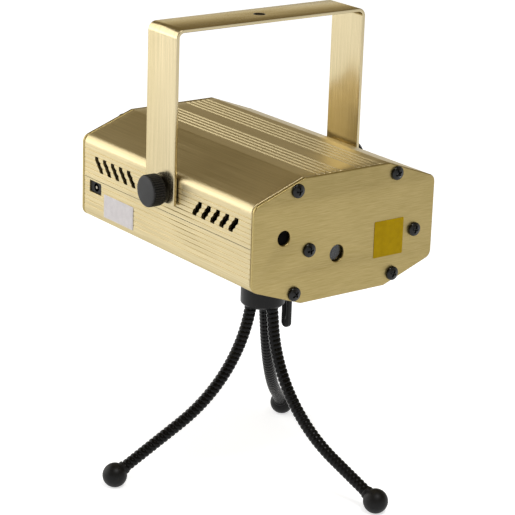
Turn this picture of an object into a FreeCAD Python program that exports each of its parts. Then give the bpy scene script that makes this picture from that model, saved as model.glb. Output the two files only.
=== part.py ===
import FreeCAD, Part
import math
import operator
import os
import Sketcher
from FreeCAD import Placement, Rotation, Vector
from types import SimpleNamespace

# Driving sizes in millimetres, and angles in degrees, grouped by piece
SIZES = {
    # Housing: two extruded half shells between two end plates
    "body_width": 92.0,
    "body_height": 52.0,
    "body_length": 124.5,
    "bevel_run": 24.6,
    "bevel_rise": 8.84,
    "side_round": 4.0,
    "top_round": 1.5,
    "wall": 1.6,
    "plate_thickness": 1.6,
    "seam_gap": 0.2,
    "flute_pitch": 2.05,
    "flute_radius": 0.9,
    "flute_depth": 0.45,
    "ridge_pitch": 2.7,
    "ridge_radius": 0.5,
    "ridge_depth": 0.18,
    "ridge_group_spacing": 20.2,
    "ridge_group_shift": 1.5,
    "vent_width": 2.0,
    "vent_round": 0.8,
    "vent_rise": 6.3,
    "vent_lean": 5.3,
    "vent_pitch": 6.2,
    "vent_margin": 9.15,
    "vent_base": 3.9,
    # Plate screws and the channels that they cut into
    "boss_radius": 2.6,
    "corner_screw_side": 20.8,
    "corner_screw_inset": 3.33,
    "screw_radius": 1.25,
    "screw_length": 9.0,
    "screw_head_radius": 2.9,
    "screw_head_height": 1.7,
    "screw_head_round": 1.1,
    "screw_cross_width": 0.8,
    "screw_cross_length": 3.2,
    "screw_cross_depth": 0.9,
    # Front plate openings, measured from its centre
    "mic_left": 31.0,
    "mic_rise": 2.7,
    "mic_hole_radius": 3.0,
    "aperture_left": 4.0,
    "aperture_lift": 18.1,
    "aperture_radius": 3.5,
    "optics_screw_left": 18.5,
    "optics_screw_side": 10.1,
    "optics_screw_lift": 21.9,
    # Bracket and its two clamping knobs
    "pivot_drop": 7.66,
    "bracket_width": 20.6,
    "bracket_thickness": 1.5,
    "bracket_bend": 2.2,
    "bracket_reach": 67.7,
    "bracket_foot": 4.6,
    "bracket_hole_radius": 2.6,
    "spacer_thickness": 0.4,
    "spacer_radius": 6.0,
    "washer_thickness": 0.6,
    "washer_radius": 6.2,
    "knob_radius": 6.7,
    "knob_height": 6.4,
    "knob_round": 0.9,
    "knob_crown": 0.25,
    "knurl_radius": 0.32,
    "knurl_margin": 0.9,
    "stud_radius": 2.5,
    "stud_length": 8.4,
    "nut_radius": 4.6,
    "nut_height": 4.0,
    # Tripod head: insert, stud with ball, seat, hub, cap and lock lever
    "body_shift": 9.0,
    "insert_radius": 4.9,
    "insert_flange_radius": 7.0,
    "insert_flange": 2.0,
    "insert_height": 7.6,
    "thread_radius": 3.175,
    "thread_length": 7.0,
    "platform_radius": 8.0,
    "platform_height": 2.5,
    "neck_radius": 1.9,
    "neck_height": 7.0,
    "ball_radius": 4.5,
    "ball_lift": 10.7,
    "seat_radius": 6.0,
    "seat_below": 3.0,
    "seat_above": 2.5,
    "hub_lift": 75.7,
    "hub_radius": 9.5,
    "hub_chamfer": 1.2,
    "cap_bore": 4.0,
    "cap_height": 1.5,
    "cap_rim": 0.2,
    "cap_slope": 2.9,
    "lug_reach": 11.9,
    "lug_width": 9.0,
    "lug_drop": 0.4,
    "lever_thickness": 2.4,
    "lever_boss": 4.4,
    "lever_boss_round": 4.2,
    "lever_waist": 3.4,
    "lever_taper": 5.0,
    "lever_width": 4.7,
    "lever_round": 2.1,
    "lever_length": 22.6,
    "lever_drop": 1.0,
    "clamp_radius": 1.5,
    "thumb_radius": 3.0,
    "thumb_depth": 0.5,
    "thumb_drop": 15.0,
    # Gooseneck legs and ball feet
    "leg_ring": 5.3,
    "leg_socket": 3.4,
    "leg_crest": 2.5,
    "leg_valley": 2.1,
    "leg_bore": 1.1,
    "core_radius": 1.05,
    "rib_pitch": 2.0,
    "joint_depth": 9.0,
    "joint_upper": 1.2,
    "joint_lower": 0.9,
    "joint_gap": 0.3,
    "foot_ring": 65.0,
    "foot_radius": 5.3,
    "foot_flat": 0.4,
    "foot_seat": 1.0,
    "left_azimuth": 164.9,
    "left_lean": 9.0,
    "left_end_lean": 55.0,
    "left_bend": 74.0,
    "right_azimuth": -77.0,
    "right_lean": 7.0,
    "right_end_lean": 63.0,
    "right_bend": 66.0,
    "rear_azimuth": 43.4,
    "rear_lean": 20.0,
    "rear_end_lean": 56.0,
    "rear_bend": 90.0,
    # Aperture window and microphone
    "window_radius": 5.0,
    "window_thickness": 1.2,
    "window_ring_radius": 6.8,
    "window_ring_depth": 2.4,
    "window_lip": 0.8,
    "capsule_radius": 3.0,
    "capsule_depth": 4.5,
    "grommet_radius": 4.6,
    "grommet_depth": 5.6,
    # Optics chassis: upright plate on two pillars, with a tray and a mirror foot behind it
    "pillar_radius": 2.5,
    "pillar_length": 10.0,
    "chassis_thickness": 3.0,
    "chassis_margin": 3.5,
    "chassis_headroom": 12.0,
    "chassis_lift": 8.8,
    "tray_thickness": 2.0,
    "tray_rim": 1.0,
    "tray_left": 14.0,
    "tray_side": 9.0,
    # Lasers, clamp blocks and beam combiner
    "laser_radius": 6.0,
    "green_start": 40.0,
    "red_axis": 29.0,
    "red_start": 10.0,
    "red_side": 10.0,
    "laser_bore": 1.5,
    "laser_bore_depth": 3.0,
    "block_margin": 3.0,
    "block_length": 12.0,
    "block_tail": 6.0,
    "mirror_length": 12.0,
    "mirror_height": 9.0,
    "mirror_thickness": 1.0,
    "mirror_foot_radius": 5.0,
    # Grating wheel with its drive
    "gear_module": 0.8,
    "gear_backlash": 0.16,
    "gear_addendum": 0.64,
    "gear_dedendum": 0.9,
    "gear_width": 3.0,
    "gear_gap": 0.6,
    "gear_line_angle": 60.0,
    "wheel_bore": 4.5,
    "wheel_collar": 5.8,
    "film_radius": 5.9,
    "film_thickness": 0.8,
    "clip_radius": 7.0,
    "clip_thickness": 0.8,
    "motor_radius": 6.0,
    "motor_length": 18.0,
    "motor_boss_radius": 2.0,
    "motor_shaft_radius": 0.75,
    "motor_shaft_depth": 8.0,
    # Circuit board, its parts and the power inlet
    "board_thickness": 1.6,
    "board_length": 30.0,
    "bay_gap": 2.65,
    "board_edge": 1.2,
    "tongue_gap": 4.0,
    "standoff_radius": 2.5,
    "standoff_gap": 4.1,
    "standoff_inset": 4.0,
    "board_screw_length": 5.0,
    "board_screw_radius": 1.0,
    "board_screw_head": 1.9,
    "board_screw_head_height": 1.2,
    "capacitor_radius": 4.0,
    "capacitor_height": 11.0,
    "chip_length": 10.0,
    "chip_width": 4.0,
    "chip_height": 1.7,
    "header_length": 9.0,
    "header_width": 5.6,
    "header_height": 6.0,
    "jack_width": 9.0,
    "jack_height": 5.0,
    "jack_depth": 12.0,
    "jack_rear": 4.65,
    "jack_drop": 0.9,
    "jack_recess": 0.6,
    "jack_bore": 1.9,
    "jack_bore_depth": 9.0,
    "jack_pin_radius": 0.65,
    # Cooling fan
    "fan_side_gap": 2.6,
    "fan_head_gap": 4.4,
    "fan_depth": 10.0,
    "fan_round": 2.0,
    "fan_rim": 1.5,
    "fan_hole_inset": 4.0,
    "fan_hub_radius": 8.5,
    "fan_hub_plate": 1.5,
    "fan_hub_gap": 0.5,
    "fan_spoke_width": 2.4,
    "fan_axle_radius": 1.0,
    "fan_axle_length": 7.0,
    "fan_rotor_depth": 7.0,
    "fan_tip_gap": 1.0,
    "fan_blade_chord": 8.0,
    "fan_blade_thickness": 0.9,
    "fan_blade_pitch": 40.0,
    "grille_web": 1.8,
    "grille_rim": 2.9,
    # Speed control and mode switch on the rear plate
    "control_offset": 0.8,
    "control_lift": 14.0,
    "pot_radius": 5.0,
    "pot_depth": 6.0,
    "bush_radius": 3.4,
    "bush_proud": 1.2,
    "speed_shaft_radius": 1.5,
    "speed_knob_radius": 5.5,
    "speed_knob_height": 7.0,
    "speed_knob_round": 0.8,
    "speed_mark_width": 0.9,
    "speed_mark_depth": 0.5,
    "switch_width": 12.0,
    "switch_height": 6.0,
    "switch_gap": 0.45,
    "slider_width": 3.0,
    "slider_height": 3.0,
    "slider_proud": 2.0,
    "slider_root": 1.6,
    "slider_travel": 2.0,
    # Clearances
    "fit_gap": 0.05,
    "face_gap": 0.1,
    "hole_gap": 0.25,
    "overrun": 1.0,
}

# Counts of repeated features
FLUTES_PER_HALF = 7
RIDGES_PER_GROUP = 5
VENTS_PER_GROUP = 5
KNURLS = 40
WHEEL_TEETH = 28
PINION_TEETH = 12
FAN_BLADES = 7
FAN_SPOKES = 3
GRILLE_RINGS = 3

# Angle of the gear flanks, and where a rib's four circles lie along its pitch
PRESSURE_ANGLE = 20.0
RIB_SHARES = (0.06, 0.3, 0.7, 0.94)

UP = Vector(0, 0, 1)
RIGHT = Vector(1, 0, 0)
LEFT = Vector(-1, 0, 0)
BACK = Vector(0, 1, 0)
FRONT = Vector(0, -1, 0)


class Size:
    """A number together with the sheet formula that gives it."""

    def __init__(self, value, formula):
        self.value = value
        self.formula = formula

    def __add__(self, other):
        return combined(self, other, operator.add, "+")

    def __radd__(self, other):
        return combined(other, self, operator.add, "+")

    def __sub__(self, other):
        return combined(self, other, operator.sub, "-")

    def __rsub__(self, other):
        return combined(other, self, operator.sub, "-")

    def __mul__(self, other):
        return combined(self, other, operator.mul, "*")

    def __rmul__(self, other):
        return combined(other, self, operator.mul, "*")

    def __truediv__(self, other):
        return combined(self, other, operator.truediv, "/")

    def __neg__(self):
        return combined(0, self, operator.sub, "-")


def as_size(number):
    if isinstance(number, Size):
        return number
    return Size(float(number), repr(float(number)))


def combined(first, second, operation, sign):
    first = as_size(first)
    second = as_size(second)
    return Size(operation(first.value, second.value), f"({first.formula} {sign} {second.formula})")


def root(size):
    return Size(math.sqrt(size.value), f"sqrt({size.formula})")


def smaller(first, second):
    return Size(min(first.value, second.value), f"min({first.formula}; {second.formula})")


doc = FreeCAD.newDocument("laser_projector")
sheet = doc.addObject("Spreadsheet::Sheet", "sizes")


# The driving sizes by name, each tied to its cell
s = SimpleNamespace()
for row, (alias, number) in enumerate(SIZES.items(), start=1):
    sheet.set(f"A{row}", alias)
    sheet.set(f"B{row}", str(number))
    sheet.setAlias(f"B{row}", alias)
    setattr(s, alias, Size(float(number), f"sizes.{alias}"))
doc.recompute()

nodes = []


# Helpers that add bound objects to the document

def bind(thing, **properties):
    for name, size in properties.items():
        thing.setExpression(name, as_size(size).formula)


def place(thing, spot, axis=UP, turn=None):
    thing.Placement = Placement(Vector(), turn or Rotation(UP, axis))
    for letter, size in zip("xyz", spot):
        thing.setExpression(f"Placement.Base.{letter}", as_size(size).formula)
    return thing


def shifted(spot, axis, distance):
    return tuple(as_size(c) + distance * a for c, a in zip(spot, axis))


def rod(radius, length, start, axis=UP, name="rod"):
    thing = doc.addObject("Part::Cylinder", name)
    bind(thing, Radius=radius, Height=length)
    return place(thing, start, axis)


def bore(radius, length, start, axis=UP):
    """A cutting rod that runs past both ends of its length."""
    return rod(radius, length + 2 * s.overrun, shifted(start, axis, -s.overrun), axis, "bore")


def block(size, corner, name="block"):
    thing = doc.addObject("Part::Box", name)
    bind(thing, Length=size[0], Width=size[1], Height=size[2])
    return place(thing, corner)


def ball(radius, centre):
    thing = doc.addObject("Part::Sphere", "ball")
    bind(thing, Radius=radius)
    return place(thing, centre)


def joined(things, name="joined"):
    thing = doc.addObject("Part::MultiFuse", name)
    thing.Shapes = things
    return thing


def grouped(things, name="grouped"):
    thing = doc.addObject("Part::Compound", name)
    thing.Links = things
    return thing


def cut(base, tools, name="cut"):
    thing = doc.addObject("Part::Cut", name)
    thing.Base = base
    thing.Tool = tools[0] if len(tools) == 1 else grouped(tools, "tools")
    return thing


def spun(thing, centre, turn, middle):
    """Turns a piece so that its own point middle lies on the centre."""
    return place(thing, [as_size(c) - offset for c, offset in zip(centre, turn.multVec(middle))], turn=turn)


def ring(outer, inner, length, start, axis=UP):
    return cut(rod(outer, length, start, axis), [bore(inner, length, start, axis)])


def unit(vector):
    return Vector(vector).normalize()


def draw(body, role, corners):
    """A closed outline through corners (x, y) or (x, y, round radius), every one tied to the sheet."""
    sketch = body.newObject("Sketcher::SketchObject", body.Name + "_outline")
    plane = next(f for f in body.Origin.OriginFeatures if f.Role == role)
    sketch.AttachmentSupport = [(plane, "")]
    sketch.MapMode = "FlatFace"
    corners = [tuple(as_size(c) for c in corner) for corner in corners]
    points = [Vector(c[0].value, c[1].value, 0) for c in corners]
    count = len(points)
    entries, exits = [], []
    for i, point in enumerate(points):
        before = unit(points[i - 1] - point)
        after = unit(points[(i + 1) % count] - point)
        reach = 0
        if len(corners[i]) > 2:
            reach = corners[i][2].value / math.tan(before.getAngle(after) / 2)
        entries.append(point + before * reach)
        exits.append(point + after * reach)
    entries_after = entries[1:] + entries[:1]
    lines = [sketch.addGeometry(Part.LineSegment(a, b), False) for a, b in zip(exits, entries_after)]
    for i, corner in enumerate(corners):
        coming, going = lines[i - 1], lines[i]
        if len(corner) > 2:
            pin = (sketch.addGeometry(Part.Point(points[i]), True), 1)
            round_corner(sketch, coming, going, (entries[i], exits[i]), corner[2])
            sketch.addConstraint(Sketcher.Constraint("PointOnObject", pin[0], 1, coming))
            sketch.addConstraint(Sketcher.Constraint("PointOnObject", pin[0], 1, going))
        else:
            pin = (going, 1)
            sketch.addConstraint(Sketcher.Constraint("Coincident", coming, 2, going, 1))
        for kind, size in zip(("DistanceX", "DistanceY"), corner):
            index = sketch.addConstraint(Sketcher.Constraint(kind, -1, 1, *pin, size.value))
            sketch.setExpression(f"Constraints[{index}]", size.formula)
    return sketch


def round_corner(sketch, coming, going, ends, radius):
    start, end = ends
    way_in = unit(sketch.Geometry[coming].EndPoint - sketch.Geometry[coming].StartPoint)
    way_out = unit(sketch.Geometry[going].EndPoint - sketch.Geometry[going].StartPoint)
    left_turn = way_in.cross(way_out).z > 0
    inward = Vector(-way_in.y, way_in.x, 0) * (1 if left_turn else -1)
    centre = start + inward * radius.value
    first, last = (start, end) if left_turn else (end, start)
    angles = [math.atan2(p.y - centre.y, p.x - centre.x) for p in (first, last)]
    circle = Part.Circle(centre, UP, radius.value)
    arc = sketch.addGeometry(Part.ArcOfCircle(circle, *angles), False)
    start_end, end_end = (1, 2) if left_turn else (2, 1)
    sketch.addConstraint(Sketcher.Constraint("Tangent", coming, 2, arc, start_end))
    sketch.addConstraint(Sketcher.Constraint("Tangent", arc, end_end, going, 1))
    index = sketch.addConstraint(Sketcher.Constraint("Radius", arc, radius.value))
    sketch.setExpression(f"Constraints[{index}]", radius.formula)


def padded(role, corners, thickness, centre, name="padded"):
    """A plate of the drawn outline, half its thickness each side of the centre."""
    body = doc.addObject("PartDesign::Body", name)
    pad = body.newObject("PartDesign::Pad", name + "_pad")
    pad.Profile = draw(body, role, corners)
    pad.SideType = "Symmetric"
    bind(pad, Length=thickness)
    return place(body, centre)


def turned(corners, spot, axis=UP, name="turned"):
    """A turned piece from the outline (radius, height), standing on spot along axis."""
    body = doc.addObject("PartDesign::Body", name)
    sketch = draw(body, "XZ_Plane", corners)
    revolution = body.newObject("PartDesign::Revolution", name + "_turn")
    revolution.Profile = sketch
    revolution.ReferenceAxis = (sketch, ["V_Axis"])
    revolution.Angle = 360
    return place(body, spot, axis)


def repeated(thing, spots, axis=UP):
    """The same piece at several spots, as separate solids."""
    copies = []
    for spot in spots:
        link = doc.addObject("App::Link", thing.Name + "_copy")
        link.LinkedObject = thing
        link.LinkTransform = False
        copies.append(place(link, spot, axis))
    return grouped(copies)


def node(label, thing):
    thing.Label = label
    nodes.append(thing)
    return thing


# Heights and lengths that several pieces share

half_width = s.body_width / 2
half_height = s.body_height / 2
half_length = s.body_length / 2
top_half = half_width - s.bevel_run
shoulder = half_height - s.bevel_rise
shell_length = s.body_length - 2 * s.plate_thickness
front_inner = s.plate_thickness - half_length
rear_inner = half_length - s.plate_thickness
inner_side = half_width - s.wall
inner_floor = s.wall - half_height

ball_z = s.hub_lift + s.ball_lift
platform_z = ball_z + s.neck_height
body_base = platform_z + s.platform_height
body_mid = body_base + half_height


def housing(x, y, z):
    """A spot given from the housing's centre."""
    return (as_size(x), s.body_shift + y, body_mid + z)


bevel_slope = s.bevel_rise / s.bevel_run
corner_screw_x = half_width - s.corner_screw_side
corner_screw_z = half_height - (corner_screw_x - top_half) * bevel_slope - s.corner_screw_inset
screw_hole = s.screw_radius + s.hole_gap

# Openings and pivots follow the housing's edges
pivot_rise = shoulder - s.pivot_drop
vent_start = rear_inner - s.vent_margin - s.vent_lean - s.vent_pitch * (VENTS_PER_GROUP - 1)
aperture_drop = half_height - s.aperture_lift
optics_screw_drop = half_height - s.optics_screw_lift
optics_screw_right = half_width - s.optics_screw_side

# The fan fits between the screw channels and under the roof, the controls between the fan and the side
fan_size = smaller(corner_screw_x - s.boss_radius - s.fan_side_gap, half_height - s.wall - s.fan_head_gap) * 2
fan_duct_radius = fan_size / 2 - s.fan_rim
fan_hole_spacing = fan_size - s.fan_hole_inset * 2
fan_blade_tip = fan_duct_radius - s.fan_tip_gap
grille_ring_pitch = (fan_duct_radius - s.grille_rim) / GRILLE_RINGS
grille_hole_radius = (grille_ring_pitch - s.grille_web) / 2
control_side = (fan_size / 2 + inner_side) / 2 + s.control_offset
control_drop = half_height - s.control_lift

# The board lies in front of the fan, its power inlet beside the fan
board_rear = rear_inner - s.fan_depth - s.bay_gap
board_front = board_rear - s.board_length
board_tongue_right = fan_size / 2 + s.tongue_gap
standoff_side = corner_screw_x - s.boss_radius - s.standoff_radius - s.standoff_gap
board_right = standoff_side + s.standoff_inset
jack_front = rear_inner - s.jack_rear - s.jack_width
switch_depth = s.jack_rear - s.board_edge - s.switch_gap

# The optics fill what is left in front of the board
chassis_top = half_height - s.chassis_headroom
chassis_bottom = half_height - s.chassis_lift
tray_right = half_width - s.tray_side
green_length = board_front - s.bay_gap - front_inner - s.green_start
red_length = half_width - s.red_side - s.red_start + s.aperture_left
block_inset = (green_length - s.block_length) / 2


# Housing shells

def shell_blank(up):
    """One half of the octagonal tube with its two screw channels; up is 1 or -1."""
    hypotenuse = root(s.bevel_run * s.bevel_run + s.bevel_rise * s.bevel_rise)
    inner_shoulder = shoulder - s.wall * (hypotenuse - s.bevel_rise) / s.bevel_run
    inner_top_half = top_half - s.wall * (hypotenuse - s.bevel_run) / s.bevel_rise
    inner_top = half_height - s.wall
    seam = s.seam_gap / 2
    outer = [(half_width, seam), (half_width, shoulder, s.side_round), (top_half, half_height, s.top_round)]
    inner = [(inner_top_half, inner_top), (inner_side, inner_shoulder), (inner_side, seam)]
    right = [(c[0], c[1] * up, *c[2:]) for c in outer]
    left = [(-c[0], c[1] * up, *c[2:]) for c in outer]
    inner_right = [(c[0], c[1] * up) for c in inner]
    inner_left = [(-c[0], c[1] * up) for c in inner]
    corners = right + left[::-1] + inner_left[::-1] + inner_right
    tube = padded("XZ_Plane", corners, shell_length, housing(0, 0, 0), "shell_tube")
    channels = [rod(s.boss_radius, shell_length, housing(x, front_inner, corner_screw_z * up), BACK)
                for x in (corner_screw_x, -corner_screw_x)]
    return joined([tube] + channels, "shell_blank")


def shell_cuts(up):
    """Pilot holes of the screw channels and the flutes along both sides."""
    start = front_inner
    cuts = [bore(s.screw_radius + s.fit_gap, shell_length, housing(x, start, corner_screw_z * up), BACK)
            for x in (corner_screw_x, -corner_screw_x)]
    flute_x = half_width + s.flute_radius - s.flute_depth
    for i in range(FLUTES_PER_HALF):
        flute_z = s.flute_pitch * (i + 0.5) * up
        for x in (flute_x, -flute_x):
            cuts.append(bore(s.flute_radius, shell_length, housing(x, start, flute_z), BACK))
    return cuts


def vent_slot(end, index):
    """A slanted slot through both side walls; end is 1 at the rear and -1 at the front."""
    length = root(s.vent_lean * s.vent_lean + s.vent_rise * s.vent_rise)
    along = (s.vent_lean / length * end, s.vent_rise / length)
    middle_y = (vent_start + s.vent_lean / 2 + s.vent_pitch * index) * end
    middle_z = s.vent_base + s.vent_rise / 2
    corners = []
    for a, b in ((-1, -1), (1, -1), (1, 1), (-1, 1)):
        y = along[0] * length * (a / 2) - along[1] * s.vent_width * (b / 2)
        z = along[1] * length * (a / 2) + along[0] * s.vent_width * (b / 2)
        corners.append((y, z, s.vent_round))
    return padded("YZ_Plane", corners, s.body_width + 2 * s.overrun, housing(0, middle_y, middle_z), "vent")


def upper_shell():
    cuts = shell_cuts(1)
    ridge_z = half_height + s.ridge_radius - s.ridge_depth
    for side in (-1, 1):
        middle = s.ridge_group_shift + s.ridge_group_spacing * side / 2
        for i in range(RIDGES_PER_GROUP):
            x = middle + s.ridge_pitch * (i - (RIDGES_PER_GROUP - 1) / 2)
            cuts.append(bore(s.ridge_radius, shell_length, housing(x, front_inner, ridge_z), BACK))
    cuts += [vent_slot(end, i) for end in (-1, 1) for i in range(VENTS_PER_GROUP)]
    cuts.append(bore(s.stud_radius + s.fit_gap, s.body_width, housing(-half_width, 0, pivot_rise), RIGHT))
    node("upper_shell", cut(shell_blank(1), cuts))


def lower_shell():
    cuts = shell_cuts(-1)
    window = (s.wall + 2 * s.overrun, s.jack_width + 2 * s.face_gap, s.jack_height + 2 * s.face_gap)
    corner = (-half_width - s.overrun, jack_front - s.face_gap, -s.jack_drop - s.jack_height - s.face_gap)
    blank = cut(shell_blank(-1), [block(window, housing(*corner))])
    cuts.append(bore(s.insert_radius + s.fit_gap, s.wall, (0, 0, body_base)))
    node("lower_shell", cut(blank, cuts))


# End plates and their screws

def end_plate(middle_y):
    quarter = [(half_width, shoulder, s.side_round), (top_half, half_height, s.top_round)]
    upper = quarter + [(-c[0], *c[1:]) for c in quarter[::-1]]
    lower = [(c[0], -c[1], c[2]) for c in upper[::-1]]
    return padded("XZ_Plane", upper + lower, s.plate_thickness, housing(0, middle_y, 0), "plate_blank")


corner_spots = [(x, z) for x in (corner_screw_x, -corner_screw_x) for z in (corner_screw_z, -corner_screw_z)]
optics_spots = [(-s.optics_screw_left, -optics_screw_drop), (optics_screw_right, -optics_screw_drop)]
fan_spots = [(fan_hole_spacing / 2 * a, fan_hole_spacing / 2 * b) for a in (-1, 1) for b in (-1, 1)]
beam_x = -s.aperture_left
beam_z = -aperture_drop
slider_slot = (s.slider_width + 2 * s.slider_travel + 2 * s.hole_gap, s.slider_height + 2 * s.hole_gap)


def front_plate():
    round_holes = [(-s.mic_left, s.mic_rise, s.mic_hole_radius), (beam_x, beam_z, s.aperture_radius)]
    round_holes += [(x, z, screw_hole) for x, z in corner_spots + optics_spots]
    holes = [bore(r, s.plate_thickness, housing(x, -half_length, z), BACK) for x, z, r in round_holes]
    node("front_plate", cut(end_plate(s.plate_thickness / 2 - half_length), holes))


def rear_plate():
    round_holes = [(x, z, screw_hole) for x, z in corner_spots + fan_spots]
    round_holes.append((control_side, -control_drop, s.bush_radius + s.hole_gap))
    round_holes.append((0, 0, grille_hole_radius))
    for ring_number in range(1, GRILLE_RINGS + 1):
        radius = grille_ring_pitch * ring_number
        for i in range(6 * ring_number):
            angle = 2 * math.pi * i / (6 * ring_number)
            round_holes.append((radius * math.cos(angle), radius * math.sin(angle), grille_hole_radius))
    holes = [bore(r, s.plate_thickness, housing(x, rear_inner, z), BACK) for x, z, r in round_holes]
    width, height = slider_slot
    corner = housing(-control_side - width / 2, rear_inner - s.overrun, -control_drop - height / 2)
    holes.append(block((width, s.plate_thickness + 2 * s.overrun, height), corner))
    node("rear_plate", cut(end_plate(half_length - s.plate_thickness / 2), holes))


def pan_screw(radius, length, head_radius, head_height, head_round):
    """A pan head screw with a cross recess, its head standing up from the origin."""
    profile = [(0, -length), (radius, -length), (radius, 0), (head_radius, 0),
               (head_radius, head_height, head_round), (0, head_height)]
    blank = turned(profile, (0, 0, 0), name="screw_blank")
    deep = head_height - s.screw_cross_depth
    high = s.screw_cross_depth + s.overrun
    wide, long = s.screw_cross_width, s.screw_cross_length * head_radius / s.screw_head_radius
    cross = [block((a, b, high), (-a / 2, -b / 2, deep)) for a, b in ((wide, long), (long, wide))]
    return cut(blank, [joined(cross)], "screw")


def plate_screws():
    screw = pan_screw(s.screw_radius, s.screw_length, s.screw_head_radius, s.screw_head_height,
                      s.screw_head_round)
    front = [housing(x, -half_length, z) for x, z in corner_spots + optics_spots]
    rear = [housing(x, half_length, z) for x, z in corner_spots + fan_spots]
    node("front_plate_screws", repeated(screw, front, FRONT))
    node("rear_plate_screws", repeated(screw, rear, BACK))


# Bracket with its pivots and knobs

arm_inner = half_width + s.spacer_thickness + s.face_gap
arm_outer = arm_inner + s.bracket_thickness
washer_x = arm_outer + s.face_gap
knob_x = washer_x + s.washer_thickness
stud_hole = s.stud_radius + s.fit_gap


def bracket():
    bend_outer = s.bracket_bend + s.bracket_thickness
    low = -s.bracket_foot
    under = s.bracket_reach - s.bracket_thickness
    corners = [(arm_outer, low), (arm_outer, s.bracket_reach, bend_outer),
               (-arm_outer, s.bracket_reach, bend_outer), (-arm_outer, low), (-arm_inner, low),
               (-arm_inner, under, s.bracket_bend), (arm_inner, under, s.bracket_bend), (arm_inner, low)]
    strap = padded("XZ_Plane", corners, s.bracket_width, housing(0, 0, pivot_rise), "strap")
    pivot = bore(stud_hole, 2 * arm_outer, housing(-arm_outer, 0, pivot_rise), RIGHT)
    hole = bore(s.bracket_hole_radius, s.bracket_thickness, housing(0, 0, pivot_rise + under))
    node("bracket", cut(strap, [pivot, hole]))


def pivots():
    for axis, sign, side in ((LEFT, -1, "left"), (RIGHT, 1, "right")):
        washer_spot = housing(washer_x * sign, 0, pivot_rise)
        node(f"{side}_washer", ring(s.washer_radius, stud_hole, s.washer_thickness, washer_spot, axis))
        node(f"{side}_knob", knob(housing(knob_x * sign, 0, pivot_rise), axis))
        stud_start = housing((knob_x + s.knob_height / 2) * sign, 0, pivot_rise)
        node(f"{side}_knob_stud", rod(s.stud_radius, s.stud_length + s.knob_height / 2, stud_start, -axis))
    spacers, nuts = [], []
    for axis, sign in ((LEFT, -1), (RIGHT, 1)):
        spacers.append(ring(s.spacer_radius, stud_hole, s.spacer_thickness,
                            housing(half_width * sign, 0, pivot_rise), axis))
        nut = doc.addObject("Part::Prism", "nut")
        nut.Polygon = 6
        bind(nut, Circumradius=s.nut_radius, Height=s.nut_height)
        seat = housing(inner_side * sign, 0, pivot_rise)
        place(nut, seat, -axis)
        nuts.append(cut(nut, [bore(stud_hole, s.nut_height, seat, -axis)]))
    node("pivot_spacers", grouped(spacers))
    node("pivot_nuts", grouped(nuts))


def knob(spot, axis):
    """A knurled hand knob with a slightly crowned face and a blind hole for its stud."""
    face = s.knob_height - s.knob_crown
    profile = [(s.stud_radius, 0), (s.knob_radius, 0, s.knob_round / 2), (s.knob_radius, face, s.knob_round),
               (0, s.knob_height), (0, s.knob_height / 2), (s.stud_radius, s.knob_height / 2)]
    blank = turned(profile, spot, axis, "knob_blank")
    base = shifted(spot, axis, s.knurl_margin)
    length = face - s.knob_round - s.knurl_margin
    grooves = []
    for i in range(KNURLS):
        angle = 2 * math.pi * i / KNURLS
        across = (0, math.cos(angle), math.sin(angle))
        grooves.append(rod(s.knurl_radius, length, shifted(base, across, s.knob_radius), axis))
    return cut(blank, grooves)


# Tripod head

seat_base = ball_z - s.seat_below
hub_top = ball_z + s.seat_above + s.face_gap
lever_z = ball_z - s.lever_drop
lever_x = s.lug_reach + s.face_gap


def tripod_head():
    hole = s.thread_radius + s.fit_gap
    flange_top = s.wall + s.insert_flange
    insert = [(hole, 0), (s.insert_radius, 0), (s.insert_radius, s.wall), (s.insert_flange_radius, s.wall),
              (s.insert_flange_radius, flange_top), (s.insert_radius, flange_top),
              (s.insert_radius, s.insert_height), (hole, s.insert_height)]
    node("tripod_insert", turned(insert, (0, 0, body_base)))
    stud = [ball(s.ball_radius, (0, 0, ball_z)),
            rod(s.neck_radius, s.neck_height + s.platform_height, (0, 0, ball_z)),
            rod(s.platform_radius, s.platform_height, (0, 0, platform_z)),
            rod(s.thread_radius, s.thread_length + s.platform_height, (0, 0, platform_z))]
    node("tripod_stud", joined(stud))
    blank = rod(s.seat_radius, s.seat_below + s.seat_above, (0, 0, seat_base))
    node("ball_seat", cut(blank, [ball(s.ball_radius + s.fit_gap, (0, 0, ball_z))]))
    cap = [(s.cap_bore, 0), (s.hub_radius, 0), (s.hub_radius, s.cap_rim),
           (s.hub_radius - s.cap_slope, s.cap_height), (s.cap_bore, s.cap_height)]
    node("hub_cap", turned(cap, (0, 0, hub_top)))


def tripod_hub(legs):
    height = hub_top - s.hub_lift
    profile = [(0, 0), (s.hub_radius - s.hub_chamfer, 0), (s.hub_radius, s.hub_chamfer),
               (s.hub_radius, height), (0, height)]
    drum = turned(profile, (0, 0, s.hub_lift))
    lug_corner = (0, -s.lug_width / 2, s.hub_lift + s.lug_drop)
    lug = block((s.lug_reach, s.lug_width, height - s.lug_drop), lug_corner)
    floor = seat_base - s.fit_gap
    well_drop = s.ball_radius + s.joint_gap - s.seat_below
    well_radius = root(s.ball_radius * s.ball_radius - s.seat_below * s.seat_below) + s.joint_gap
    cuts = [joined([rod(s.seat_radius + s.fit_gap, hub_top - floor + s.overrun, (0, 0, floor)),
                    rod(well_radius, well_drop + s.overrun, (0, 0, floor - well_drop)),
                    rod(s.clamp_radius + s.fit_gap, s.lug_reach + s.overrun, (0, 0, lever_z), RIGHT)])]
    for leg in legs:
        socket = rod(s.leg_crest + s.fit_gap, s.leg_socket + s.overrun, (0, 0, 0))
        place(socket, leg.point(0) + leg.tangent(0) * s.overrun.value, leg.tangent(0) * -1)
        cuts.append(socket)
    node("tripod_hub", cut(joined([drum, lug]), cuts))


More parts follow.
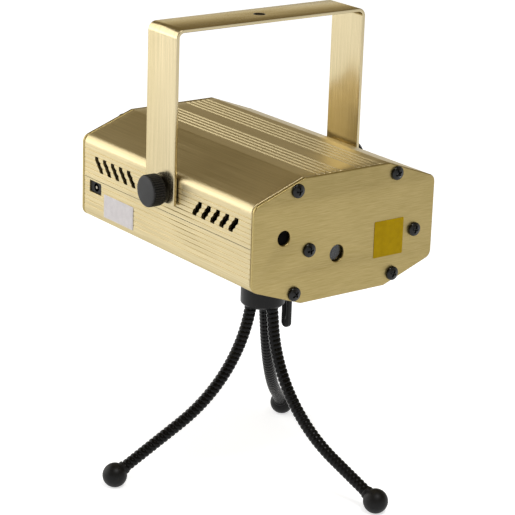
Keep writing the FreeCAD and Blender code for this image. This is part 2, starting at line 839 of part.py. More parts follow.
def lock_lever():
    """A paddle hanging beside the hub, on the screw that clamps the ball seat."""
    boss, half = s.lever_boss, s.lever_width / 2
    waist = -boss - s.lever_taper
    right = [(boss, boss, s.lever_boss_round), (boss, -s.lever_waist, s.lever_round),
             (half, waist, s.lever_round), (half, -s.lever_length, s.lever_round)]
    left = [(-c[0], *c[1:]) for c in right[::-1]]
    centre_x = lever_x + s.lever_thickness / 2
    paddle = padded("YZ_Plane", right + left, s.lever_thickness, (centre_x, 0, lever_z), "paddle")
    dimple_x = lever_x + s.thumb_depth - s.thumb_radius
    dimple = ball(s.thumb_radius, (dimple_x, 0, lever_z - s.thumb_drop))
    reach = lever_x + s.lever_thickness / 2 - s.seat_radius - s.joint_gap
    screw = rod(s.clamp_radius, reach, (centre_x, 0, lever_z), LEFT)
    node("lock_lever", joined([cut(paddle, [dimple]), screw]))


# Gooseneck legs, worked out along a straight run, an arc and a second straight run

class Leg:
    def __init__(self, side):
        self.side = side
        azimuth = math.radians(getattr(s, side + "_azimuth").value)
        self.first = math.radians(getattr(s, side + "_lean").value)
        self.last = math.radians(getattr(s, side + "_end_lean").value)
        self.bend = getattr(s, side + "_bend").value
        self.outward = Vector(math.cos(azimuth), math.sin(azimuth), 0)
        self.across = Vector(-math.sin(azimuth), math.cos(azimuth), 0)
        self.arc = self.bend * (self.last - self.first)
        self.start = (s.leg_ring.value, s.hub_lift.value)
        foot = (s.foot_ring.value, s.foot_radius.value - s.foot_flat.value)
        rest_out = foot[0] - self.start[0] - self.bend * (math.cos(self.first) - math.cos(self.last))
        rest_down = self.start[1] - foot[1] - self.bend * (math.sin(self.last) - math.sin(self.first))
        turn = math.sin(self.last - self.first)
        self.run = (rest_down * math.sin(self.last) - rest_out * math.cos(self.last)) / turn
        self.end_run = (rest_out * math.cos(self.first) - rest_down * math.sin(self.first)) / turn
        self.length = self.run + self.arc + self.end_run

    def lean(self, along):
        turned_by = min(max(along - self.run, 0), self.arc)
        return self.first + turned_by / self.bend

    def tangent(self, along):
        lean = self.lean(along)
        return self.outward * math.sin(lean) - UP * math.cos(lean)

    def point(self, along):
        """The centreline at a distance from the hub's underside; negative is inside the hub."""
        lean = self.lean(along)
        first = min(along, self.run)
        last = max(along - self.run - self.arc, 0)
        out = first * math.sin(self.first) + last * math.sin(self.last)
        down = first * math.cos(self.first) + last * math.cos(self.last)
        out += self.bend * (math.cos(self.first) - math.cos(lean))
        down += self.bend * (math.sin(lean) - math.sin(self.first))
        return self.outward * (self.start[0] + out) + UP * (self.start[1] - down)

    def circle(self, along, radius):
        ring_wire = Part.Circle(self.point(along), self.tangent(along), radius)
        ring_wire.XAxis = self.across
        return Part.Wire(ring_wire.toShape())

    def ribbed(self, begin, end):
        """A ruled loft through four circles for each rib."""
        count = max(round((end - begin) / s.rib_pitch.value), 1)
        pitch = (end - begin) / count
        low, high = s.leg_valley.value, s.leg_crest.value
        rings = []
        for i in range(count):
            for share, radius in zip(RIB_SHARES, (low, high, high, low)):
                rings.append(self.circle(begin + pitch * (i + share), radius))
        return Part.makeLoft(rings, True, True)

    def pipe(self, begin, end, radius):
        """A plain tube along the same line."""
        stations = [begin] + [a for a in (self.run, self.run + self.arc) if begin < a < end] + [end]
        edges = []
        for a, b in zip(stations, stations[1:]):
            ends = (self.point(a), self.point(b))
            if a >= self.run and b <= self.run + self.arc:
                edges.append(Part.Arc(ends[0], self.point((a + b) / 2), ends[1]).toShape())
            else:
                edges.append(Part.LineSegment(*ends).toShape())
        return Part.Wire(edges).makePipeShell([self.circle(begin, radius)], True, False)


def legs_and_feet(legs):
    roots = []
    joint = s.joint_depth.value
    for leg in legs:
        tip = leg.length - s.foot_seat.value
        bead_spot = leg.point(joint)
        lower = leg.ribbed(joint + s.joint_lower.value, tip)
        bead = Part.makeSphere(s.leg_valley.value, bead_spot)
        hollow = leg.pipe(joint + s.leg_valley.value, tip + s.overrun.value, s.leg_bore.value)
        part = doc.addObject("Part::Feature", leg.side + "_leg_form")
        part.Shape = lower.fuse(bead).cut(hollow)
        node(leg.side + "_leg", part)
        core = doc.addObject("Part::Feature", leg.side + "_core_form")
        core.Shape = leg.pipe(joint + s.leg_valley.value + s.joint_gap.value, tip, s.core_radius.value)
        node(leg.side + "_leg_core", core)
        upper = leg.ribbed(-s.leg_socket.value + s.face_gap.value, joint - s.joint_upper.value)
        cup = Part.makeSphere(s.leg_valley.value + s.joint_gap.value, bead_spot)
        roots.append(upper.cut(cup))
        node(leg.side + "_foot", foot(leg, tip))
    stubs = doc.addObject("Part::Feature", "leg_roots_form")
    stubs.Shape = Part.makeCompound(roots)
    node("leg_roots", stubs)


def foot(leg, tip):
    """A rubber ball, flat where it stands, with a blind hole for the leg's end."""
    centre = leg.point(leg.length)
    sphere = ball(s.foot_radius, centre)
    wide = 2 * s.foot_radius
    floor_corner = (centre.x - s.foot_radius, centre.y - s.foot_radius, -s.foot_radius)
    floor = block((wide, wide, s.foot_radius), floor_corner)
    hole = rod(s.leg_crest + s.fit_gap, s.foot_radius + s.overrun, (0, 0, 0))
    place(hole, leg.point(tip), leg.tangent(tip) * -1)
    return cut(sphere, [floor, hole])


# Behind the front plate: window, microphone and optics

plate_back = front_inner + s.pillar_length
chassis_back = plate_back + s.chassis_thickness
tray_top = -chassis_bottom + s.tray_thickness
tray_length = front_inner + s.green_start + block_inset + s.block_length + s.tray_rim - chassis_back
red_y = front_inner + s.red_axis
mirror_base = beam_z - s.mirror_height / 2


def window_and_microphone():
    glass = rod(s.window_radius, s.window_thickness, housing(beam_x, front_inner, beam_z), BACK)
    node("aperture_window", glass)
    bore_radius = s.window_radius + s.fit_gap
    lip = s.window_radius - s.window_lip
    profile = [(bore_radius, 0), (s.window_ring_radius, 0), (s.window_ring_radius, s.window_ring_depth),
               (lip, s.window_ring_depth), (lip, s.window_thickness), (bore_radius, s.window_thickness)]
    node("window_ring", turned(profile, housing(beam_x, front_inner, beam_z), BACK))
    mic = housing(-s.mic_left, front_inner, s.mic_rise)
    node("microphone", rod(s.capsule_radius, s.capsule_depth, shifted(mic, BACK, s.face_gap), BACK))
    sleeve = rod(s.grommet_radius, s.grommet_depth, mic, BACK)
    pocket_depth = s.capsule_depth + s.face_gap
    pocket = rod(s.capsule_radius + s.fit_gap, pocket_depth + s.overrun, shifted(mic, BACK, -s.overrun), BACK)
    node("microphone_grommet", cut(sleeve, [pocket]))


motor_angle = math.radians(s.gear_line_angle.value)
centre_distance = s.gear_module * (WHEEL_TEETH + PINION_TEETH) / 2
motor_x = beam_x + centre_distance * math.cos(motor_angle)
motor_z = beam_z + centre_distance * math.sin(motor_angle)
gear_y = plate_back - s.gear_gap - s.gear_width


def optics_chassis():
    left = -s.optics_screw_left - s.chassis_margin
    right = optics_screw_right + s.chassis_margin
    height = chassis_top + chassis_bottom
    upright = block((right - left, s.chassis_thickness, height), housing(left, plate_back, -chassis_bottom))
    tray = block((s.tray_left + tray_right, tray_length + s.chassis_thickness, s.tray_thickness),
                 housing(-s.tray_left, plate_back, -chassis_bottom))
    pillars = [rod(s.pillar_radius, s.pillar_length + s.chassis_thickness, housing(x, front_inner, z), BACK)
               for x, z in optics_spots]
    screw_holes = [bore(s.screw_radius + s.fit_gap, s.pillar_length + s.chassis_thickness,
                        housing(x, front_inner, z), BACK) for x, z in optics_spots]
    collar = bore(s.wheel_collar + s.fit_gap, s.chassis_thickness, housing(beam_x, plate_back, beam_z), BACK)
    motor_spot = housing(motor_x, plate_back, motor_z)
    boss = bore(s.motor_boss_radius + s.fit_gap, s.chassis_thickness, motor_spot, BACK)
    mirror_foot = rod(s.mirror_foot_radius, mirror_base - tray_top + s.tray_thickness,
                      housing(beam_x, red_y, -chassis_bottom))
    node("optics_chassis", cut(joined([upright, tray, mirror_foot] + pillars), screw_holes + [collar, boss]))


def laser(start, axis, length):
    barrel = rod(s.laser_radius, length, start, axis)
    mouth = rod(s.laser_bore, s.laser_bore_depth + s.overrun, shifted(start, axis, -s.overrun), axis)
    return cut(barrel, [mouth])


def clamp_block(corner, size, start, axis):
    """A heat sink block standing on the tray, bored for its laser."""
    hole = bore(s.laser_radius + s.fit_gap, s.block_length, start, axis)
    return cut(block(size, corner), [hole])


def lasers():
    green_y = front_inner + s.green_start
    red_x = beam_x + s.red_start
    node("green_laser", laser(housing(beam_x, green_y, beam_z), BACK, green_length))
    node("red_laser", laser(housing(red_x, red_y, beam_z), RIGHT, red_length))
    half = s.laser_radius + s.block_margin
    top = beam_z + half
    green_block_y = green_y + block_inset
    node("green_laser_block", clamp_block(housing(beam_x - half, green_block_y, tray_top),
                                          (2 * half, s.block_length, top - tray_top),
                                          housing(beam_x, green_block_y, beam_z), BACK))
    red_block_x = red_x + red_length - s.block_tail - s.block_length
    node("red_laser_block", clamp_block(housing(red_block_x, red_y - half, tray_top),
                                        (s.block_length, 2 * half, top - tray_top),
                                        housing(red_block_x, red_y, beam_z), RIGHT))
    glass = doc.addObject("Part::Box", "mirror")
    bind(glass, Length=s.mirror_length, Width=s.mirror_thickness, Height=s.mirror_height)
    diagonal = math.sqrt(0.5)
    away = (s.mirror_length + s.mirror_thickness) / 2 * diagonal
    near = (s.mirror_length - s.mirror_thickness) / 2 * diagonal
    place(glass, housing(beam_x - near, red_y - away, mirror_base), turn=Rotation(UP, 45))
    node("beam_combiner", glass)


def gear(teeth, phase, bore_radius, name):
    """A toothed disc with straight flanks, lying in the plane of its face."""
    module = s.gear_module.value
    pitch_radius = module * teeth / 2
    tip, base = pitch_radius + s.gear_addendum.value, pitch_radius - s.gear_dedendum.value
    half_tooth = (math.pi * module / 2 - s.gear_backlash.value) / 2
    flank = math.tan(math.radians(PRESSURE_ANGLE))
    base_angle = (half_tooth + (pitch_radius - base) * flank) / base
    tip_angle = (half_tooth - (tip - pitch_radius) * flank) / tip
    points = []
    for i in range(teeth):
        middle = phase + 2 * math.pi * i / teeth
        for radius, angle in ((base, -base_angle), (tip, -tip_angle), (tip, tip_angle), (base, base_angle)):
            points.append(Vector(radius * math.cos(middle + angle), radius * math.sin(middle + angle), 0))
    outline = Part.Face(Part.makePolygon(points + points[:1]))
    form = doc.addObject("Part::Feature", name)
    hole = Part.makeCylinder(bore_radius.value, s.gear_width.value)
    form.Shape = outline.extrude(UP * s.gear_width.value).cut(hole)
    return form


def grating_drive():
    wheel_spot = housing(beam_x, gear_y, beam_z)
    wheel = place(gear(WHEEL_TEETH, -motor_angle, s.wheel_bore, "wheel_teeth"), wheel_spot, BACK)
    clip_y = chassis_back + s.face_gap
    collar_length = clip_y + s.clip_thickness - gear_y
    collar = ring(s.wheel_collar, s.wheel_bore, collar_length, wheel_spot, BACK)
    recess_spot = shifted(wheel_spot, FRONT, s.overrun)
    recess = rod(s.film_radius + s.fit_gap, s.film_thickness + s.overrun, recess_spot, BACK)
    node("grating_wheel", cut(joined([wheel, collar]), [recess]))
    node("grating_film", rod(s.film_radius, s.film_thickness, wheel_spot, BACK))
    clip_spot = housing(beam_x, clip_y, beam_z)
    node("wheel_clip", ring(s.clip_radius, s.wheel_collar + s.fit_gap, s.clip_thickness, clip_spot, BACK))
    motor_spot = housing(motor_x, chassis_back, motor_z)
    boss_spot = shifted(motor_spot, FRONT, s.chassis_thickness)
    can = joined([rod(s.motor_radius, s.motor_length, motor_spot, BACK),
                  rod(s.motor_boss_radius, s.chassis_thickness, boss_spot, BACK)])
    shaft_hole = rod(s.motor_shaft_radius + s.fit_gap, s.chassis_thickness + s.motor_shaft_depth + s.overrun,
                     shifted(boss_spot, FRONT, s.overrun), BACK)
    node("drive_motor", cut(can, [shaft_hole]))
    pinion_spot = housing(motor_x, gear_y, motor_z)
    pinion_phase = math.pi - motor_angle + math.pi / PINION_TEETH
    pinion = gear(PINION_TEETH, pinion_phase, s.motor_shaft_radius + s.fit_gap, "pinion_teeth")
    node("motor_pinion", place(pinion, pinion_spot, BACK))
    shaft_length = chassis_back - gear_y + s.motor_shaft_depth - s.face_gap
    node("motor_shaft", rod(s.motor_shaft_radius, shaft_length, pinion_spot, BACK))


# Circuit board and power inlet

board_top = -s.jack_drop - s.jack_height
board_base = board_top - s.board_thickness


def circuit_board():
    left = -inner_side + s.board_edge
    tongue_rear = jack_front + s.jack_width + s.board_edge
    corners = [(left, board_front), (board_right, board_front), (board_right, board_rear),
               (-board_tongue_right, board_rear), (-board_tongue_right, tongue_rear),
               (left, tongue_rear)]
    board_mid = housing(0, 0, (board_base + board_top) / 2)
    blank = padded("XY_Plane", corners, s.board_thickness, board_mid, "board_blank")
    spots = [(standoff_side * a, y) for a in (-1, 1)
             for y in (board_front + s.standoff_inset, board_rear - s.standoff_inset)]
    hole_radius = s.board_screw_radius + s.hole_gap
    holes = [bore(hole_radius, s.board_thickness, housing(x, y, board_base)) for x, y in spots]
    node("main_board", cut(blank, holes))
    height = board_base - inner_floor
    posts = [ring(s.standoff_radius, s.board_screw_radius + s.fit_gap, height, housing(x, y, inner_floor))
             for x, y in spots]
    node("board_standoffs", grouped(posts))
    screw = pan_screw(s.board_screw_radius, s.board_screw_length, s.board_screw_head,
                      s.board_screw_head_height, s.board_screw_head_height / 2)
    node("board_screws", repeated(screw, [housing(x, y, board_top) for x, y in spots]))
    middle = (board_front + board_rear) / 2
    chip = (s.chip_length, s.chip_width, s.chip_height)
    header = (s.header_length, s.header_width, s.header_height)
    capacitor_x = -standoff_side - s.chip_length
    parts = [rod(s.capacitor_radius, s.capacitor_height, housing(capacitor_x, y, board_top))
             for y in (middle - s.chip_length, middle + s.board_edge)]
    parts += [block(chip, housing(x, middle, board_top)) for x in (-s.chip_length, s.chip_width)]
    parts += [block(header, housing(x, middle - s.header_width - s.board_edge, board_top))
              for x in (-s.header_length, s.board_edge)]
    node("board_parts", grouped(parts))


def power_inlet():
    front_x = -half_width + s.jack_recess
    corner = housing(front_x, jack_front, board_top)
    middle = housing(front_x, jack_front + s.jack_width / 2, board_top + s.jack_height / 2)
    body = block((s.jack_depth, s.jack_width, s.jack_height), corner)
    mouth = rod(s.jack_bore, s.jack_bore_depth + s.overrun, shifted(middle, LEFT, s.overrun), RIGHT)
    node("power_inlet", cut(body, [mouth]))
    node("power_inlet_pin", rod(s.jack_pin_radius, s.jack_bore_depth, middle, RIGHT))


# Fan, speed control and mode switch at the rear plate

def cooling_fan():
    front_y = rear_inner - s.fan_depth
    half = fan_size / 2
    corners = [(half * a, half * b, s.fan_round) for a, b in ((-1, -1), (1, -1), (1, 1), (-1, 1))]
    fan_mid = housing(0, rear_inner - s.fan_depth / 2, 0)
    frame_blank = padded("XZ_Plane", corners, s.fan_depth, fan_mid, "fan_blank")
    centre = housing(0, front_y, 0)
    duct = bore(fan_duct_radius, s.fan_depth, centre, BACK)
    hole_radius = s.screw_radius + s.fit_gap
    holes = [bore(hole_radius, s.fan_depth, housing(x, front_y, z), BACK) for x, z in fan_spots]
    spokes = []
    for i in range(FAN_SPOKES):
        spoke = block((s.fan_spoke_width, s.fan_hub_plate, fan_duct_radius + s.fan_round / 2), centre)
        middle = Vector(s.fan_spoke_width.value / 2, 0, 0)
        spokes.append(spun(spoke, centre, Rotation(BACK, 360 * i / FAN_SPOKES), middle))
    hub = rod(s.fan_hub_radius, s.fan_hub_plate, centre, BACK)
    axle = rod(s.fan_axle_radius, s.fan_hub_plate + s.fan_axle_length, centre, BACK)
    node("fan_frame", joined([cut(frame_blank, [duct] + holes), hub, axle] + spokes))
    rotor_spot = shifted(centre, BACK, s.fan_hub_plate + s.fan_hub_gap)
    mid_spot = shifted(rotor_spot, BACK, s.fan_rotor_depth / 2)
    blades = []
    for i in range(FAN_BLADES):
        blade = block((s.fan_blade_chord, s.fan_blade_thickness, fan_blade_tip), mid_spot)
        twist = Rotation(UP, s.fan_blade_pitch.value)
        middle = Vector(s.fan_blade_chord.value / 2, s.fan_blade_thickness.value / 2, 0)
        blades.append(spun(blade, mid_spot, Rotation(BACK, 360 * i / FAN_BLADES).multiply(twist), middle))
    core = rod(s.fan_hub_radius, s.fan_rotor_depth, rotor_spot, BACK)
    axle_hole = bore(s.fan_axle_radius + s.fit_gap, s.fan_rotor_depth, rotor_spot, BACK)
    node("fan_rotor", cut(joined([core] + blades), [axle_hole]))


def speed_control():
    inner = housing(control_side, rear_inner, -control_drop)
    bush_length = s.plate_thickness + s.bush_proud
    pot = rod(s.pot_radius, s.pot_depth, inner, FRONT)
    body = joined([pot, rod(s.bush_radius, bush_length, inner, BACK)])
    shaft_hole = rod(s.speed_shaft_radius + s.fit_gap, s.pot_depth / 2 + bush_length + s.overrun,
                     shifted(inner, FRONT, s.pot_depth / 2), BACK)
    node("speed_control", cut(body, [shaft_hole]))
    base = shifted(inner, BACK, bush_length + s.face_gap)
    height = s.speed_knob_height
    radius = s.speed_knob_radius
    cap = turned([(0, 0), (radius, 0), (radius, height, s.speed_knob_round), (0, height)], base, BACK)
    mark_size = (s.speed_mark_width, s.speed_mark_depth + s.overrun, radius)
    mark_corner = shifted(shifted(base, BACK, height - s.speed_mark_depth), LEFT, s.speed_mark_width / 2)
    shaft_length = bush_length + s.pot_depth / 2
    shaft = rod(s.speed_shaft_radius, shaft_length + height / 2, shifted(base, BACK, height / 2), FRONT)
    node("speed_knob", joined([cut(cap, [block(mark_size, mark_corner)]), shaft]))


def mode_switch():
    def centred(width, depth, height, front_y):
        corner = housing(-control_side - width / 2, front_y, -control_drop - height / 2)
        return block((width, depth, height), corner)

    body = centred(s.switch_width, switch_depth, s.switch_height, rear_inner - switch_depth)
    slot_depth = s.slider_root + s.face_gap
    slot = centred(slider_slot[0], slot_depth + s.overrun, slider_slot[1], rear_inner - slot_depth)
    node("mode_switch", cut(body, [slot]))
    length = s.slider_root + s.plate_thickness + s.slider_proud
    node("switch_slider", centred(s.slider_width, length, s.slider_height, rear_inner - s.slider_root))


legs = [Leg(side) for side in ("left", "right", "rear")]
upper_shell()
lower_shell()
front_plate()
rear_plate()
plate_screws()
bracket()
pivots()
tripod_head()
tripod_hub(legs)
lock_lever()
legs_and_feet(legs)
window_and_microphone()
optics_chassis()
lasers()
grating_drive()
circuit_board()
power_inlet()
cooling_fan()
speed_control()
mode_switch()
doc.recompute()

failed = [thing.Label for thing in doc.Objects if "Invalid" in thing.State or "Error" in thing.State]
failed += [thing.Label for thing in nodes if thing.Shape.isNull() or not thing.Shape.isValid()]
if failed:
    raise RuntimeError("not built: " + ", ".join(failed))

for leg in legs:
    runs = f"runs {leg.run:.1f} and {leg.end_run:.1f}, arc {leg.arc:.1f}"
    print(f"{leg.side} leg: {runs}, whole {leg.length:.1f}")

os.makedirs("parts", exist_ok=True)
for thing in nodes:
    thing.Shape.exportStep(f"parts/{thing.Label}.step")
print(len(nodes), "nodes written")
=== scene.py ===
import math

import bmesh
import bpy
import numpy as np
from mathutils import Matrix, Vector


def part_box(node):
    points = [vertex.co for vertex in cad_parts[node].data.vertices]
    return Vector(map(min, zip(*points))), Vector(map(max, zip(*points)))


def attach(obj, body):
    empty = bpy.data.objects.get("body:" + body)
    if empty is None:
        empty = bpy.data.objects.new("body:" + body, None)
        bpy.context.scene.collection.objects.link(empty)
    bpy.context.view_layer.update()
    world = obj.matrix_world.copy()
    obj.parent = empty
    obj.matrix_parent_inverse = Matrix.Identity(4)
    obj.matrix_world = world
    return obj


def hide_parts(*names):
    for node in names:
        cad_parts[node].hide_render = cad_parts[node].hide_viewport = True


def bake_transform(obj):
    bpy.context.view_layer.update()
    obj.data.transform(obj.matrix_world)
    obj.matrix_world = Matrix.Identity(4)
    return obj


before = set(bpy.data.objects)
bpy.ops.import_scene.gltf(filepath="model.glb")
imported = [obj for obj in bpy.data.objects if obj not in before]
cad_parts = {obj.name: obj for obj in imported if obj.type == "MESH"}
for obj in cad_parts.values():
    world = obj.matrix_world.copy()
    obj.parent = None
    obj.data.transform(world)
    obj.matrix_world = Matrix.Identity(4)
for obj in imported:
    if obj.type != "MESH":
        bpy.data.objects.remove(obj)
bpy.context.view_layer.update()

mm = 0.001                     # shapes are worked out in millimetres and stored in metres
tiny = 1e-9                    # slack when two numbers are compared


def boxOf(node):
    low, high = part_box(node)
    return np.array(low) / mm, np.array(high) / mm


def midOf(node):
    low, high = boxOf(node)
    return (low + high) / 2


# The housing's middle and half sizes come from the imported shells
upperLow, upperHigh = boxOf("upper_shell")
underside = boxOf("lower_shell")[0][2]
frontFace, rearFace = boxOf("front_plate")[0][1], boxOf("rear_plate")[1][1]
bodyMid = np.array([0, (upperLow[1] + upperHigh[1]) / 2, (underside + upperHigh[2]) / 2])
bodyHalf = np.array([upperHigh[0], (upperHigh[1] - upperLow[1]) / 2, upperHigh[2] - bodyMid[2]])
print("frame loaded, housing", np.round(2 * bodyHalf, 2), "mm")


# Shared shape functions

def gridQuads(rows, columns, closed=False):
    # Four corners of every cell of a grid of points, numbered row by row; a closed grid joins its
    # last column to its first
    r = np.arange(rows - 1)[:, None]
    c = np.arange(columns if closed else columns - 1)[None, :]
    nextC = (c + 1) % columns
    corners = [r * columns + c, r * columns + nextC, (r + 1) * columns + nextC, (r + 1) * columns + c]
    return np.stack(np.broadcast_arrays(*corners), -1).reshape(-1, 4)


def filletPath(corners, closed=True, steps=7):
    # Straight runs between corners (x, y, radius), each corner rounded by the arc that touches both runs
    spots = np.array([corner[:2] for corner in corners], float)
    radii = [corner[2] if len(corner) > 2 else 0 for corner in corners]
    pieces = []
    for i, (spot, radius) in enumerate(zip(spots, radii)):
        if radius == 0 or (not closed and i in (0, len(spots) - 1)):
            pieces.append(spot[None])
            continue
        back, ahead = spots[i - 1] - spot, spots[(i + 1) % len(spots)] - spot
        back, ahead = back / np.linalg.norm(back), ahead / np.linalg.norm(ahead)
        half = math.acos(np.clip(back @ ahead, -1, 1)) / 2
        middle = spot + (back + ahead) / np.linalg.norm(back + ahead) * radius / math.sin(half)
        start = spot + back * radius / math.tan(half) - middle
        end = spot + ahead * radius / math.tan(half) - middle
        sweep = math.pi - 2 * half
        t = np.linspace(0, 1, steps)[:, None]
        arc = np.sin((1 - t) * sweep) * start + np.sin(t * sweep) * end
        pieces.append(middle + arc / math.sin(sweep))
    return np.vstack(pieces)


def rectangle(across, up, radius=0, steps=7):
    # Rectangle between two pairs of limits, its corners rounded
    (a, b), (c, d) = across, up
    return filletPath([(a, c, radius), (b, c, radius), (b, d, radius), (a, d, radius)], steps=steps)


def circle(spot, radius, sides):
    # Points evenly spaced round a middle
    angle = np.linspace(0, 2 * np.pi, sides, endpoint=False)
    return np.stack([spot[0] + radius * np.cos(angle), spot[1] + radius * np.sin(angle)], -1)


def lathe(profile, sides, swell=None, spot=(0, 0, 0)):
    # Profile (radius, height) turned about the height axis; swell(profile, angle) is added to the radius,
    # and the whole is moved to its spot
    angle = np.linspace(0, 2 * np.pi, sides, endpoint=False)[None, :]
    radius = profile[:, :1] + (0 if swell is None else swell(profile, angle)) + 0 * angle
    height = profile[:, 1:] + 0 * angle
    points = np.stack([radius * np.cos(angle), radius * np.sin(angle), height], -1)
    return points.reshape(-1, 3) + np.array(spot), gridQuads(len(profile), sides, closed=True)


def slab(outline, thickness, edge, dish=None, steps=4, rings=8):
    # Outline scaled from its middle to its rim on both faces, and carried round a quarter-round edge;
    # dish(x, y) sinks the lower face
    ahead = np.roll(outline, -1, 0) - np.roll(outline, 1, 0)
    out = np.stack([ahead[:, 1], -ahead[:, 0]], -1) / np.linalg.norm(ahead, axis=1)[:, None]
    flat = outline - edge * out
    scale = np.linspace(0, 1, rings)[:-1, None, None]
    middle = flat.mean(0)
    face = middle + scale * (flat - middle)[None]
    turn = np.linspace(0, np.pi / 2, steps)[:, None, None]
    rim = outline[None] - edge * (1 - np.sin(turn)) * out[None]
    low = np.concatenate([face, rim])
    depth = np.concatenate([np.zeros((rings - 1, 1)), edge * (1 - np.cos(turn[:, 0]))]) + 0 * low[..., 0]
    lowZ = depth - thickness / 2 + (0 if dish is None else dish(low[..., 0], low[..., 1]))
    bottom = np.concatenate([low, lowZ[..., None]], -1)
    top = np.concatenate([low, (thickness / 2 - depth)[..., None]], -1)[::-1]
    points = np.concatenate([bottom, top])
    return points.reshape(-1, 3), gridQuads(len(points), len(outline), closed=True)


def roundedBox(low, high, radius, steps=5):
    # Six gridded faces of a cube; each point is pulled onto the inner box grown by the radius
    low, high = np.array(low, float), np.array(high, float)
    inner = (high - low) / 2 - radius
    bend = np.tan(np.linspace(-np.pi / 4, np.pi / 4, 2 * steps)) * radius
    ticks = [np.where(bend < 0, bend - inner[k], bend + inner[k]) for k in range(3)]
    points, faces = [], []
    for k in range(3):
        i, j = (k + 1) % 3, (k + 2) % 3
        for side in (-1, 1):
            a, b = np.meshgrid(ticks[i], ticks[j], indexing="ij")
            face = np.zeros(a.shape + (3,))
            face[..., i], face[..., j], face[..., k] = a, b, side * (inner[k] + radius)
            core = np.clip(face, -inner, inner)
            away = face - core
            face = core + radius * away / np.linalg.norm(away, axis=-1, keepdims=True)
            faces.append(gridQuads(*a.shape) + sum(len(p) for p in points))
            points.append(face.reshape(-1, 3))
    return np.concatenate(points) + (low + high) / 2, np.concatenate(faces)


def standAlong(points, spot, axis, turn=0):
    # Shape made about +Z, turned by an angle about it, laid along the axis and moved to its spot
    lie = Vector((0, 0, 1)).rotation_difference(Vector(axis)).to_matrix() @ Matrix.Rotation(turn, 3, "Z")
    return points @ np.array(lie).T + np.array(spot)


def together(shapes):
    # Several shapes as one list of points and one of faces
    counts = np.cumsum([0] + [len(points) for points, faces in shapes])
    return (np.concatenate([points for points, faces in shapes]),
            np.concatenate([faces + start for (points, faces), start in zip(shapes, counts)]))


def newMesh(name, shape, sharpAngle=40, uv=None):
    # Seams and poles are merged and faces turned outwards; edges sharper than the angle stay crisp
    points, faces = shape
    mesh = bpy.data.meshes.new(name)
    mesh.from_pydata(points * mm, [], faces if isinstance(faces, list) else faces.tolist())
    if uv is not None:
        layer = mesh.uv_layers.new(name="along")
        layer.data.foreach_set("uv", uv[faces.reshape(-1)].reshape(-1))
    work = bmesh.new()
    work.from_mesh(mesh)
    bmesh.ops.remove_doubles(work, verts=work.verts, dist=1e-7)
    bmesh.ops.dissolve_degenerate(work, edges=work.edges, dist=1e-8)
    bmesh.ops.recalc_face_normals(work, faces=work.faces)
    work.to_mesh(mesh)
    work.free()
    mesh.shade_smooth()
    mesh.set_sharp_from_angle(angle=math.radians(sharpAngle))
    return mesh


def addObject(name, data):
    item = bpy.data.objects.new(name, data)
    bpy.context.collection.objects.link(item)
    return item


def finishedMesh(item):
    # What an object's curve or modifiers come to, as a plain mesh
    graph = bpy.context.evaluated_depsgraph_get()
    return bpy.data.meshes.new_from_object(item.evaluated_get(graph), depsgraph=graph)


def addPiece(name, shape, material, body, stands=(), uv=None, sharpAngle=40):
    # A finished piece rides on a body, fills a material slot and may stand for CAD nodes
    piece = addObject(name, newMesh(name, shape, sharpAngle, uv))
    piece.data.materials.append(material)
    if body:
        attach(piece, body)
    if stands:
        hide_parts(*stands)
    return piece


def drill(piece, bores, sides, sharpAngle=40):
    # Round holes (spot, axis, radius, length) are cut through a piece
    cutters = []
    for spot, axis, radius, length in bores:
        profile = np.array([(0, -length / 2), (radius, -length / 2), (radius, length / 2), (0, length / 2)])
        points, faces = lathe(profile, sides)
        cutters.append((standAlong(points, spot, axis), faces))
    cutter = addObject("bores", newMesh("bores", together(cutters)))
    modifier = piece.modifiers.new("bores", "BOOLEAN")
    modifier.operation, modifier.object, modifier.solver = "DIFFERENCE", cutter, "EXACT"
    bored = finishedMesh(piece)
    piece.modifiers.clear()
    piece.data = bored
    bored.set_sharp_from_angle(angle=math.radians(sharpAngle))
    bpy.data.objects.remove(cutter)


# Materials

def linear(code):
    # sRGB hex to linear
    channels = np.array([int(code[i:i + 2], 16) for i in (1, 3, 5)]) / 255
    values = np.where(channels <= 0.04045, channels / 12.92, ((channels + 0.055) / 1.055) ** 2.4)
    return (*values.tolist(), 1.0)


def addNode(tree, kind, values={}, links={}, ramp=(), **settings):
    # A link comes from a socket, or from a node's first output; ramp holds a colour ramp's (place, colour) stops
    node = tree.nodes.new("ShaderNode" + kind)
    for key, value in settings.items():
        setattr(node, key, value)
    for key, value in values.items():
        node.inputs[key].default_value = value
    for key, source in links.items():
        tree.links.new(source.outputs[0] if isinstance(source, bpy.types.Node) else source, node.inputs[key])
    for k, (place, colour) in enumerate(ramp):
        stop = node.color_ramp.elements[k]
        stop.position, stop.color = place, linear(colour)
    return node


def newMaterial(name):
    material = bpy.data.materials.new(name)
    material.use_nodes = True
    material.node_tree.nodes.clear()
    return material, material.node_tree


def closeMaterial(material, shader):
    addNode(material.node_tree, "OutputMaterial", links={"Surface": shader})
    return material


